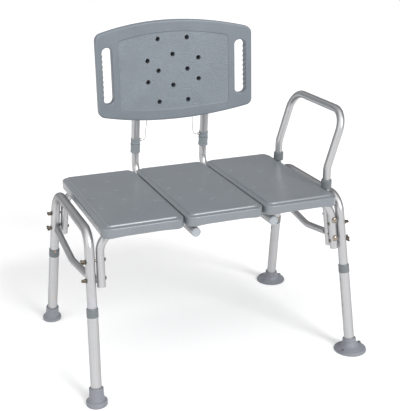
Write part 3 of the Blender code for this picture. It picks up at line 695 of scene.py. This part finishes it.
def leg_collar(corner, side, end):
    """A stepped plastic ring with two shallow grooves round it."""
    wide = EXTENSION + GAP
    narrow = TUBE + GAP
    height = COLLAR_TOP - COLLAR_BOTTOM
    outside = COLLAR_RADIUS
    profile = [(0, wide), (0, outside - 0.0004), (0.0012, outside)]
    for groove in (0.0055, height - 0.0065):
        profile += [(groove - 0.0006, outside), (groove, outside - 0.0005),
                    (groove + 0.0006, outside)]
    step = COLLAR_STEP - COLLAR_BOTTOM
    profile += [(height - 0.0025, outside), (height, outside - 0.0008), (height, narrow),
                (step, narrow), (step, wide)]
    base = leg_point(side, end, COLLAR_BOTTOM)
    mesh = turned_ring(base, leg_axis(side, end), profile, 0.0005)
    mesh = carve(mesh, height_holes(side, end, (HOLE_COUNT - 1,), BUTTON_HOLE))
    stand_in(f"leg_collar_{corner}", mesh, "collar_plastic", f"extension_{corner}")


def leg_button(corner, side, end):
    middle = leg_point(side, end, HOLE_LOWEST) + leg_axis(side, end) * HOLE_PITCH
    profile = soften(((0, 0.0001), (0, 0.0031), (0.0036, 0.0031), (0.0046, 0.0022),
                      (0.0048, 0.0001)), 0.0006, 3)
    mesh = lathe(middle - Vector((side * 0.008, 0, 0)), (-side, 0, 0), profile, 28)
    stand_in(f"leg_button_{corner}", mesh, "button_brass", f"button_{corner}")


def rivet(name, side, end, height, radius, body, finish):
    """A small domed rivet on the front face of a leg tube."""
    axis = Vector((0, -1, 0))
    start = leg_point(side, end, height) + axis * (radius - 0.0008)
    profile = [(0.0, 0.0001), (0.0, 0.0026), (0.0010, 0.0025), (0.0017, 0.0016), (0.0020, 0.0001)]
    mesh = lathe(start, axis, soften(profile, 0.0006, 3), 24)
    piece(name, mesh, "button_brass", body, finishes=(finish,))


def blank_label(name, side, end, low, high, body):
    """A plain pale sticker that wraps round the outer front of a leg tube."""
    axis = leg_axis(side, end)
    rings = []
    for height in (low, high):
        ring = []
        for radius, order in ((TUBE + 0.00002, 1), (TUBE + 0.00014, -1)):
            for step in range(-10, 11):
                turn = math.radians(252 + 5.2 * step * order)
                spoke = Vector((math.cos(turn), math.sin(turn), 0))
                spoke -= axis * spoke.dot(axis)
                ring.append(leg_point(side, end, height) + spoke.normalized() * radius)
        rings.append(ring)
    piece(name, skin(rings), "bow_tube", body, finishes=("label_film",))


def foot_ring(side, end, level, radius, height, sides=64):
    axis = Vector((0, 0, 1)).lerp(leg_axis(side, end), min(1.0, max(0.0, level / (height * 0.5))))
    return circle(leg_point(side, end, level), axis, radius, sides)


def foot_mesh(side, end, profile, height):
    rings = [foot_ring(side, end, level, radius, height) for level, radius in profile]
    bore = EXTENSION + GAP
    axis = leg_axis(side, end)
    for level in (height, 0.0177):
        rings.append(circle(leg_point(side, end, level), axis, bore, 64))
    return skin(rings)


TIP_PROFILE = soften((
    (0, 0.0265), (0.0005, 0.0277), (0.002, 0.028), (0.0100, 0.0280), (0.0118, 0.0272),
    (0.0126, 0.0236), (0.0150, 0.0212), (0.0205, 0.0200), (0.0300, 0.0191), (0.0370, 0.0187),
    (0.0375, 0.0193), (0.0435, 0.0191), (0.045, 0.0182), (0.045, 0.0162)), 0.0010, 3)
CUP_PROFILE = soften((
    (0.0040, 0.012), (0.0032, 0.030), (0.0004, 0.0438), (0.0, 0.0452), (0.0006, 0.0466),
    (0.0018, 0.0470), (0.0050, 0.0462), (0.0066, 0.0440), (0.0080, 0.0385), (0.0100, 0.0350),
    (0.0118, 0.0290), (0.0150, 0.0240), (0.0200, 0.0208), (0.0265, 0.0190), (0.0270, 0.0196),
    (0.0345, 0.0192), (0.036, 0.0180), (0.036, 0.0160)), 0.0009, 3)


def rubber_tip(corner, side, end):
    mesh = foot_mesh(side, end, TIP_PROFILE, TIP_HEIGHT)
    stand_in(f"rubber_tip_{corner}", mesh, "foot_rubber", f"extension_{corner}")


def release_tab(side, end, turn):
    """A finger tab that stands up from the cup's rim."""
    centre = leg_point(side, end, 0.004)
    out = Vector((math.cos(turn), math.sin(turn), 0))
    across = Vector((-out.y, out.x, 0))
    outline = soften(((-0.0062, 0.0), (-0.0048, 0.0065), (0.0048, 0.0065), (0.0062, 0.0)), 0.003, 4)
    rings = [[centre + out * (reach + z * 0.25) + across * x + Vector((0, 0, z)) for x, z in outline]
             for reach in (0.0405, 0.0432)]
    return skin(rings)


def suction_cup(corner, side, end):
    mesh = foot_mesh(side, end, CUP_PROFILE, CUP_HEIGHT)
    for turn in (math.radians(200), math.radians(20)):
        mesh = carve(mesh, release_tab(side, end, turn), "UNION")
        spot = leg_point(side, end, 0.0) + 0.0345 * Vector((math.cos(turn), math.sin(turn), 0))
        mesh = carve(mesh, rod(spot + Vector((0, 0, 0.0062)), spot + Vector((0, 0, 0.02)), 0.0036))
    stand_in(f"suction_cup_{corner}", mesh, "foot_rubber", f"extension_{corner}")


# ---------------------------------------------------------------- fasteners

def thread(start, stop, radius, pitch=0.0010):
    """Lathe profile of a screw thread's ridges."""
    turns = int((stop - start) / pitch)
    profile = []
    for i in range(turns):
        profile += [(start + i * pitch, radius - 0.0003), (start + (i + 0.5) * pitch, radius)]
    return profile


def wing(side, start):
    """The two ears of a wing nut, thin and rounded, across the bolt."""
    outline = ((0.0030, 0.0), (0.0090, 0.0022), (0.0112, 0.0072), (0.0090, 0.0098), (0.0046, 0.0082),
               (0.0, 0.0072))
    right = [(start + 0.0012 + rise, reach) for reach, rise in outline]
    left = [(x, -reach) for x, reach in reversed(right[:-1])]
    shape = soften(right + left, 0.0030, 4, True)
    rings = []
    for z, shrink in ((-0.0013, 0.0005), (-0.0008, 0.0), (0.0008, 0.0), (0.0013, 0.0005)):
        centre = start + 0.006
        rings.append([(side * (centre + (x - centre) * (1 - shrink / 0.006)),
                       y * (1 - shrink / 0.0125), z) for x, y in shape])
    return skin(rings)


def wing_bolt(name, side, end, height, twist):
    inner = RAIL_TO_LEG + RAIL + GAP
    outer = TUBE + GAP
    head = -inner - 0.0032
    profile = [(head, 0.0001), (head, 0.0022), (head + 0.0012, 0.0045), (-inner, 0.0052),
               (-inner, 0.0030), (outer, 0.0030), (outer, 0.0068), (outer + 0.0010, 0.0068),
               (outer + 0.0010, 0.0056), (outer + 0.0055, 0.0047), (outer + 0.0100, 0.0042)]
    profile = soften(profile, 0.0004, 2) + thread(outer + 0.0102, outer + 0.0118, 0.0030, 0.0008)
    bolt = lathe((0, 0, 0), (side, 0, 0), profile + [(outer + 0.0120, 0.0001)], 36)
    bolt = carve(bolt, wing(side, outer), "UNION")
    bolt.transform(Matrix.Translation(leg_point(side, end, height)) @ Matrix.Rotation(twist, 4, "X"))
    stand_in(name, bolt, "wing_brass", "frame")


def arm_bolt(name, end, height):
    """A carriage bolt with a broad domed head on the rail and a hex nut on the post."""
    start = abs(leg_point(1, end, height).y) + RAIL + 0.0006
    tail = abs(arm_post_point(end, height).y) - ARM_POST - 0.0006
    length = start - tail
    dome = [(-0.0056 * math.cos(t), 0.0086 * math.sin(t))
            for t in (math.pi / 2 * i / 10 for i in range(11))]
    profile = [(-0.0056, 0.0001)] + dome[1:] + [(0.0006, 0.0086), (0.0006, 0.0030),
                                               (length, 0.0030)]
    profile += [(length + 0.0046 + step, radius)
                for step, radius in thread(0.0, 0.0024, 0.0030, 0.0008)]
    base = Vector((ARM_BOLT_X, end * start, height))
    axis = Vector((0, -end, 0))
    mesh = lathe(base, axis, profile + [(length + 0.0072, 0.0001)], 40)
    nut = lathe(base + axis * length, axis, ((0, 0.0040), (0, 0.0052), (0.0006, 0.0056),
                                             (0.0040, 0.0056), (0.0046, 0.0050)), 6)
    stand_in(name, carve(mesh, nut, "UNION"), "dome_steel", "frame")


# ---------------------------------------------------------------- arm

def arm_post_point(end, height):
    drop = max(0.0, ARM_POST_KINK - height)
    return Vector((ARM_X + LEAN_X * drop, end * (ARM_Y + LEAN_Y[end] * drop), height))


def arm_post(name, end):
    corners = [arm_post_point(end, height)
               for height in (ARM_POST_BOTTOM, ARM_POST_KINK, ARM_POST_TOP)]
    mesh = tube(corners, (ARM_POST_BEND,), ARM_POST, ARM_POST_WALL)
    stand_in(name, mesh, "post_tube", "frame")


def arm_collar(name, end):
    wide = ARM_TUBE + GAP
    narrow = ARM_POST + GAP
    profile = [(0, narrow), (0, 0.0139), (0.0012, 0.0150), (0.0068, 0.0150), (0.0074, 0.0144),
               (0.0080, 0.0150), (0.0215, 0.0150), (0.0255, 0.0136), (0.0255, wide),
               (0.0027, wide), (0.0027, narrow)]
    base = (ARM_X, end * ARM_Y, ARM_COLLAR_BOTTOM)
    mesh = turned_ring(base, (0, 0, 1), profile, 0.0005)
    stand_in(name, mesh, "collar_plastic", "frame")


def arm_rail(name):
    top_x = ARM_X + ARM_LEAN * (ARM_TOP - ARM_KINK)
    corners = []
    for end in (-1, 1):
        leg = [(ARM_X, end * ARM_Y, ARM_BOTTOM), (ARM_X, end * ARM_Y, ARM_KINK),
               (top_x, end * ARM_Y, ARM_TOP)]
        corners += leg if end < 0 else leg[::-1]
    mesh = tube(corners, ARM_BENDS, ARM_TUBE, ARM_WALL)
    stand_in(name, mesh, "arm_tube", "arm")


# ---------------------------------------------------------------- backrest

def post_y(height):
    return POST_FOOT_Y - POST_LEAN * (height - CROSS_HEIGHT)


def post_point(x, height):
    return Vector((x, post_y(height), height))


def cross_tube(name, x):
    corners = [Vector((x, y, CROSS_HEIGHT)) for y in (-CROSS_END, CROSS_END)]
    stand_in(name, tube(corners, (), TUBE, WALL), "cross_tube", "frame")


def end_cap(name, x):
    """A plug with a flange and a slightly dished face."""
    stem = TUBE - WALL - 2 * GAP
    profile = [(-0.018, 0.0001), (-0.018, stem - 0.001), (-0.012, stem), (GAP, stem),
               (GAP, TUBE), (0.0022, TUBE), (0.0040, TUBE - 0.0014), (0.0044, TUBE - 0.0034),
               (0.0036, TUBE - 0.0046), (0.0034, 0.0001)]
    mesh = lathe((x, -CROSS_END, CROSS_HEIGHT), (0, -1, 0), soften(profile, 0.0006, 3), ROUND)
    stand_in(name, mesh, "cap_plastic", "frame")


def pin_hole(x, inward):
    middle = post_point(x, PIN_HEIGHT)
    reach = Vector((inward * 0.03, 0, 0))
    return rod(middle - reach, middle + reach, PIN_HOLE)


def posts(name, x, inward):
    corners = [(x, POST_START, CROSS_HEIGHT), (x, POST_FOOT_Y, CROSS_HEIGHT),
               post_point(x, LOWER_POST_TOP)]
    lower = carve(tube(corners, (POST_BEND,), POST_RADIUS, WALL), pin_hole(x, inward))
    stand_in(f"lower_post_{name}", lower, "post_tube", "frame")
    drop = POST_FOOT_Y + POST_LEAN * CROSS_HEIGHT - UPPER_POST_Y + BACK_TILT * BACK_MIDDLE
    kink = post_point(x, drop / (POST_LEAN + BACK_TILT))
    top = (x, UPPER_POST_Y + BACK_TILT * (UPPER_POST_TOP - BACK_MIDDLE), UPPER_POST_TOP)
    corners = [post_point(x, UPPER_POST_BOTTOM), kink, top]
    upper = carve(tube(corners, (UPPER_POST_BEND,), TUBE, WALL), pin_hole(x, inward))
    stand_in(f"upper_post_{name}", upper, "post_tube", "backrest")


def post_ring(x, low, high, bore, radius):
    length = (post_point(x, high) - post_point(x, low)).length
    profile = [(0, bore), (0, radius - 0.0012), (0.0012, radius), (0.0040, radius),
               (0.0052, radius - 0.0007), (length - 0.0052, radius - 0.0007),
               (length - 0.0040, radius), (length - 0.0012, radius), (length, radius - 0.0012),
               (length, bore)]
    return turned_ring(post_point(x, low), (0, -POST_LEAN, 1), profile, 0.0006)


def rings_and_pin(name, x, inward):
    lower = post_ring(x, LOWER_RING_BOTTOM, UPPER_POST_BOTTOM - 2 * GAP, POST_RADIUS + GAP,
                      LOWER_RING_RADIUS)
    stand_in(f"lower_ring_{name}", lower, "ring_plastic", "frame")
    upper = post_ring(x, UPPER_POST_BOTTOM, UPPER_RING_TOP, TUBE + GAP, UPPER_RING_RADIUS)
    upper = carve(upper, pin_hole(x, inward))
    stand_in(f"upper_ring_{name}", upper, "ring_plastic", "backrest")
    neck = UPPER_RING_RADIUS + 0.0008
    profile = [(0.0113, 0.0001), (0.0113, 0.0015), (0.0121, 0.0026), (neck, 0.0026),
               (neck, 0.0045), (neck + 0.0026, 0.0045), (neck + 0.0038, 0.0030),
               (neck + 0.0042, 0.0020), (0.0255, 0.0020), (0.0262, 0.0024), (0.0275, 0.0022),
               (0.0275, 0.0001)]
    mesh = lathe(post_point(x, PIN_HEIGHT), (inward, 0, 0), soften(profile, 0.0004, 3), 32)
    stand_in(f"lock_pin_{name}", mesh, "pin_steel", f"pin_{name}")


TETHER_ROUTES = {
    "left": ((0.0283, 0.0, 0.0), (0.0315, 0.0, 0.0045), (0.0320, -0.002, 0.018),
             (0.0330, -0.006, 0.040), (0.0340, -0.013, 0.066), (0.0340, -0.020, 0.084),
             (0.0340, -0.0292, 0.0905)),
    "right": ((0.0283, 0.0, 0.0), (0.0330, 0.0, 0.0030), (0.0370, -0.002, 0.014),
              (0.0400, -0.006, 0.036), (0.0430, -0.013, 0.062), (0.0445, -0.020, 0.083),
              (0.0445, -0.0292, 0.0905)),
}
TETHER_RADIUS = 0.0009


def tether_anchor(name, x, inward):
    """The small round boss behind the panel that holds a tether's upper end."""
    dx, dy, dz = TETHER_ROUTES[name][-1]
    held = post_point(x, PIN_HEIGHT) + Vector((inward * dx, dy, dz))
    start = front_y(held.x, held.z) + BACK_THICKNESS - 0.0006
    length = held.y + TETHER_RADIUS + 0.0008 - start
    profile = soften(((0, 0.0001), (0, 0.0050), (0.0014, 0.0046), (length - 0.0014, 0.0036),
                      (length, 0.0026), (length, 0.0001)), 0.0006, 3)
    mesh = lathe((held.x, start, held.z), (0, 1, BACK_TILT), profile, 32)
    piece(f"tether_{name}_anchor", mesh, "ring_plastic", "backrest")


def smooth_route(points, steps):
    """Catmull-Rom points between the route's own points."""
    ends = [2 * points[0] - points[1]] + points + [2 * points[-1] - points[-2]]
    places = []
    for a, b, c, d in zip(ends, ends[1:], ends[2:], ends[3:]):
        for step in range(steps):
            t = step / steps
            places.append(0.5 * (2 * b + (c - a) * t + (2 * a - 5 * b + 4 * c - d) * t ** 2
                                 + (3 * b - a - 3 * c + d) * t ** 3))
    return places + [points[-1]]


def tether(name, x, inward):
    start = post_point(x, PIN_HEIGHT)
    route = smooth_route([TO_MODEL @ (start + Vector((inward * dx, dy, dz)))
                          for dx, dy, dz in TETHER_ROUTES[name]], 3)
    curve = bpy.data.curves.new(f"tether_{name}", "CURVE")
    curve.dimensions = "3D"
    curve.bevel_depth = TETHER_RADIUS
    curve.bevel_resolution = 4
    curve.use_fill_caps = True
    spline = curve.splines.new("POLY")
    spline.points.add(len(route) - 1)
    for knot, place in zip(spline.points, route):
        knot.co = (*place, 1.0)
    spline.use_smooth = True
    curve.materials.append(MATERIALS["tether_cord"])
    made = placed(f"tether_{name}_cord", curve)
    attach(made, f"pin_{name}")
    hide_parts(f"tether_{name}")


def barrel(half_width, top, bottom, top_arc, bottom_arc, corner, inset=0.0):
    """An outline with arched top and bottom, straight sides and rounded corners."""
    points = []
    half = half_width - corner
    radius = corner - inset
    for sign, arc, crown in ((1, top_arc, top), (-1, bottom_arc, bottom)):
        pivot = crown - sign * arc
        lean = math.asin(half / (arc - corner))
        corner_z = (arc - corner) * math.cos(lean)
        reach = math.pi / 2 - lean
        right = [(half + radius * math.cos(reach * i / 9), corner_z + radius * math.sin(reach * i / 9))
                 for i in range(9)]
        crest = [((arc - inset) * math.sin(lean * i / 16), (arc - inset) * math.cos(lean * i / 16))
                 for i in range(16, -17, -1)]
        left = [(-x, z) for x, z in reversed(right)]
        line = [(BACK_X + x, pivot + sign * z) for x, z in right + crest + left]
        points += line if sign > 0 else line[::-1]
    return points


def back_holes():
    for x, z in ((0.046, 0.093), (0.0, 0.046), (0.0806, 0.0315), (0.046, 0.0)):
        for side in ((1, -1) if x else (1,)):
            for up in ((1, -1) if z else (1,)):
                yield BACK_X + 0.001 + side * x, BACK_MIDDLE + up * z


SLOT_CENTRE = 0.2088
SLOT_SIZE = (0.0324, 0.1622)
GRIP_PITCH = 0.0145
GRIP_DEPTH = 0.0016
OUTLINE = (BACK_HALF, 0.901, 0.6053, 1.0621, 0.8602, 0.022)
FIELD = (0.1740, 0.8690, 0.6360, 0.860, 1.100, 0.012)
FIELD_DEPTH = 0.0018


def front_y(x, height):
    """The backrest's front face, bowed towards the sitter at its sides and tilted back."""
    share = (x - BACK_X) / BACK_HALF
    return BACK_FRONT_Y - BACK_BOW * share ** 2 + BACK_TILT * (height - BACK_MIDDLE)


def laid(outline, depth, scale=1.0):
    """A flat outline, shrunk about the middle and laid on the bowed panel."""
    ring = []
    for x, z in outline:
        x = BACK_X + (x - BACK_X) * scale
        z = BACK_MIDDLE + (z - BACK_MIDDLE) * scale
        ring.append((x, front_y(x, z) + depth, z))
    return ring


def slot_outline(side, grow):
    """A handle opening whose outer edge is scalloped for the fingers."""
    width, height = SLOT_SIZE
    outline = dense(rounded_rectangle(width + 2 * grow, height + 2 * grow, 0.0150 + grow), 0.0018)
    points = []
    for x, z in outline:
        if x * side > 0:
            window = smoothstep((0.070 - abs(z)) / 0.012) * smoothstep(x * side / 0.012)
            x -= side * GRIP_DEPTH * window * (0.5 + 0.5 * math.cos(2 * math.pi * z / GRIP_PITCH))
        points.append((BACK_X + side * SLOT_CENTRE + x, BACK_MIDDLE + z))
    return points


def slot_cutter(side):
    lip = 0.0035
    steps = [math.pi / 2 * i / 5 for i in range(6)]
    levels = [(-0.004, lip)] + [(lip * (1 - math.cos(t)) - 0.00001, lip * (1 - math.sin(t)))
                                for t in steps]
    levels += [(BACK_THICKNESS - depth, grow) for depth, grow in reversed(levels)]
    return skin([laid(slot_outline(side, grow), depth) for depth, grow in levels])


def hole_cutter(x, z):
    far = BACK_THICKNESS
    profile = [(-0.003, 0.0080), (0.0004, 0.0076), (0.0020, 0.0073), (0.0030, 0.0067),
               (far - 0.0014, 0.0018), (far - 0.0004, 0.0024), (far + 0.003, 0.0032)]
    return lathe((x, front_y(x, z), z), (0, 1, 0), profile, 28)


def bowed_face(polygon, place):
    """The exact normal of the bowed front, field or back face that a corner lies on."""
    depth = place.y - front_y(place.x, place.z)
    if abs(polygon.normal.y) < 0.93:
        return None
    if min(abs(depth - level) for level in (0.0, FIELD_DEPTH, BACK_THICKNESS)) > 0.00012:
        return None
    slope = 2 * BACK_BOW * (place.x - BACK_X) / BACK_HALF ** 2
    facing = 1 if polygon.normal.y > 0 else -1
    return facing * Vector((slope, 1, -BACK_TILT)).normalized()


SHARES = [0.04 + 0.08 * i for i in range(12)]
BACK_FINISHES = ("back_plastic", "back_grain", "back_hollow")


def backrest_shell():
    edge = 0.0062
    profile = soften(((0.016, 0.0), (0.0, 0.0), (0.0, BACK_THICKNESS), (0.016, BACK_THICKNESS)),
                     edge, 6)
    face = barrel(*OUTLINE, inset=profile[0][0])
    rings = [laid(face, 0.0, share) for share in SHARES]
    rings += [laid(barrel(*OUTLINE, inset=inset), depth) for inset, depth in profile]
    rings += [laid(face, BACK_THICKNESS, share) for share in reversed(SHARES)]
    return skin(rings)


def field_cutter():
    """What is cut away in front of the slightly sunk, grained field."""
    levels = ((-0.002, -0.0016), (0.0, 0.0), (0.0003, 0.0006), (FIELD_DEPTH - 0.0003, 0.0018))
    rings = [laid(barrel(*FIELD, inset=-0.0016), -0.002, share) for share in SHARES]
    rings += [laid(barrel(*FIELD, inset=inset), depth) for depth, inset in levels]
    floor = barrel(*FIELD, inset=0.0024)
    rings += [laid(floor, FIELD_DEPTH, share) for share in [1.0] + SHARES[::-1]]
    return skin(rings)


def finish_back(mesh):
    """Give the field its grain, and paint shade into the drain holes by giving their inside walls a
    near-black finish.
    """
    to_feet = TO_MODEL.inverted()
    for polygon in mesh.polygons:
        place = to_feet @ polygon.center
        depth = place.y - front_y(place.x, place.z)
        middle = min(math.hypot(place.x - x, place.z - z) for x, z in back_holes())
        # painted shade: hole walls behind the field get the near-black finish in place of the shade
        # that falls inside the holes
        if depth > FIELD_DEPTH + 0.0010 and middle < 0.0068 and abs(polygon.normal.y) < 0.7:
            polygon.material_index = BACK_FINISHES.index("back_hollow")
        elif polygon.normal.y < -0.8 and FIELD_DEPTH - 0.0002 < depth < FIELD_DEPTH + 0.001:
            polygon.material_index = BACK_FINISHES.index("back_grain")


def backrest_panel():
    mesh = carve(backrest_shell(), field_cutter())
    mesh = carve(mesh, joined([hole_cutter(x, z) for x, z in back_holes()]))
    for side in SIDES.values():
        mesh = carve(mesh, slot_cutter(side))
    made = stand_in("backrest_panel", mesh, "back_plastic", "backrest", sharp=32,
                    finishes=BACK_FINISHES, broad_normal=bowed_face)
    finish_back(made.data)


# ---------------------------------------------------------------- assembly

WING_TWISTS = (0.15, -0.30, 0.10, 0.35, -0.15, 0.80, 0.25, 1.20)


def build_seat_and_arm():
    for name, index in (("left", -1), ("middle", 0), ("right", 1)):
        seat_panel(name, index)
    for name, end in ENDS.items():
        seat_rail(f"seat_rail_{name}", end)
        arm_post(f"arm_post_{name}", end)
        arm_collar(f"arm_collar_{name}", end)
        for level, height in ARM_BOLT_HEIGHTS.items():
            arm_bolt(f"arm_bolt_{name}_{level}", end, height)
    arm_rail("arm_rail")


def build_leg(corner, side, end, twists):
    leg_extension(corner, side, end)
    leg_collar(corner, side, end)
    leg_button(corner, side, end)
    foot = rubber_tip if side < 0 else suction_cup
    foot(corner, side, end)
    for level, height in BOLT_HEIGHTS.items():
        wing_bolt(f"wing_bolt_{corner}_{level}", side, end, height, next(twists))


def build_legs():
    twists = iter(WING_TWISTS)
    for side_name, side in SIDES.items():
        leg_bow(f"leg_bow_{side_name}", side)
        cross_brace(f"cross_brace_{side_name}", side)
        for end_name, end in ENDS.items():
            build_leg(f"{end_name}_{side_name}", side, end, twists)
        back = f"back_{side_name}"
        rivet(f"rivet_{back}_upper", side, 1, 0.2495, COLLAR_RADIUS, f"extension_{back}", "copper")
        rivet(f"rivet_{back}_lower", side, 1, 0.090, EXTENSION, f"extension_{back}", "button_brass")
    blank_label("leg_label", -1, -1, 0.2556, 0.2860, "frame")


def build_backrest():
    backrest_panel()
    for name, side in SIDES.items():
        x = POSTS_X + side * POST_SPACING / 2
        cross_tube(f"cross_tube_{name}", x)
        end_cap(f"end_cap_{name}", x)
        posts(name, x, -side)
        rings_and_pin(name, x, -side)
        tether(name, x, -side)
        tether_anchor(name, x, -side)


# ---------------------------------------------------------------- studio

def sunlight(name, towards, strength, spread):
    """A soft distant light that shines along a direction."""
    lamp = bpy.data.lights.new(name, "SUN")
    lamp.energy = strength
    lamp.angle = math.radians(spread)
    holder = placed(name, lamp)
    holder.rotation_euler = Vector(towards).to_track_quat("-Z", "Y").to_euler()


def build_floor():
    bm = bmesh.new()
    bmesh.ops.create_circle(bm, cap_ends=True, segments=96, radius=FLOOR_RADIUS)
    mesh = bpy.data.meshes.new("studio_floor")
    bm.to_mesh(mesh)
    bm.free()
    floor = placed("studio_floor", mesh)
    material, tree, shader = new_material("studio_floor", Roughness=0.9, Emission_Strength=0.13)
    shader.inputs["Emission Color"].default_value = (1, 1, 1, 1)
    place = node(tree, "ShaderNodeTexCoord").outputs["Object"]
    tint = blend(tree, noise(tree, place, 1.2), (0.93, 0.93, 0.93, 1), (0.95, 0.95, 0.95, 1))
    tree.links.new(tint, shader.inputs["Base Color"])
    mesh.materials.append(material)


def build_world():
    """A studio that is bright in front of the bench and dimmer behind and above it."""
    world = bpy.data.worlds.new("studio_world")
    bpy.context.scene.world = world
    world.use_nodes = True
    tree = world.node_tree
    backdrop = tree.nodes["Background"]
    heading = node(tree, "ShaderNodeTexCoord").outputs["Generated"]
    facing = node(tree, "ShaderNodeVectorMath", {0: heading, 1: (-0.35, -0.90, -0.25)},
                  operation="DOT_PRODUCT").outputs["Value"]
    room = blend(tree, span(tree, facing, 0.0, 1.0, -0.6, 0.8), (0.30, 0.30, 0.305, 1),
                 (0.86, 0.86, 0.86, 1))
    seen = node(tree, "ShaderNodeLightPath").outputs["Is Camera Ray"]
    tint = blend(tree, seen, room, (1.0, 1.0, 1.0, 1))
    tree.links.new(tint, backdrop.inputs["Color"])
    backdrop.inputs["Strength"].default_value = 1.0


def set_view():
    view = bpy.context.scene.view_settings
    view.view_transform = "Standard"


def build_camera():
    data = bpy.data.cameras.new("camera")
    data.sensor_fit = "HORIZONTAL"
    data.sensor_width = 36.0
    data.lens = CAMERA_LENS
    data.shift_x, data.shift_y = CAMERA_SHIFT
    camera = placed("camera", data)
    camera.location = CAMERA_PLACE
    camera.rotation_euler = (math.pi / 2 - CAMERA_DIP, 0.0, CAMERA_HEADING)
    bpy.context.scene.camera = camera


set_view()
build_camera()
build_world()
build_floor()
sunlight("key", (-0.30, 0.90, -0.66), 1.75, 20)
sunlight("fill", (0.85, 0.45, -0.50), 0.45, 50)
sunlight("top", (0.1, 0.2, -1.0), 0.75, 60)
sunlight("back", (0.3, -0.9, -0.6), 0.2, 50)
build_seat_and_arm()
build_legs()
build_backrest()
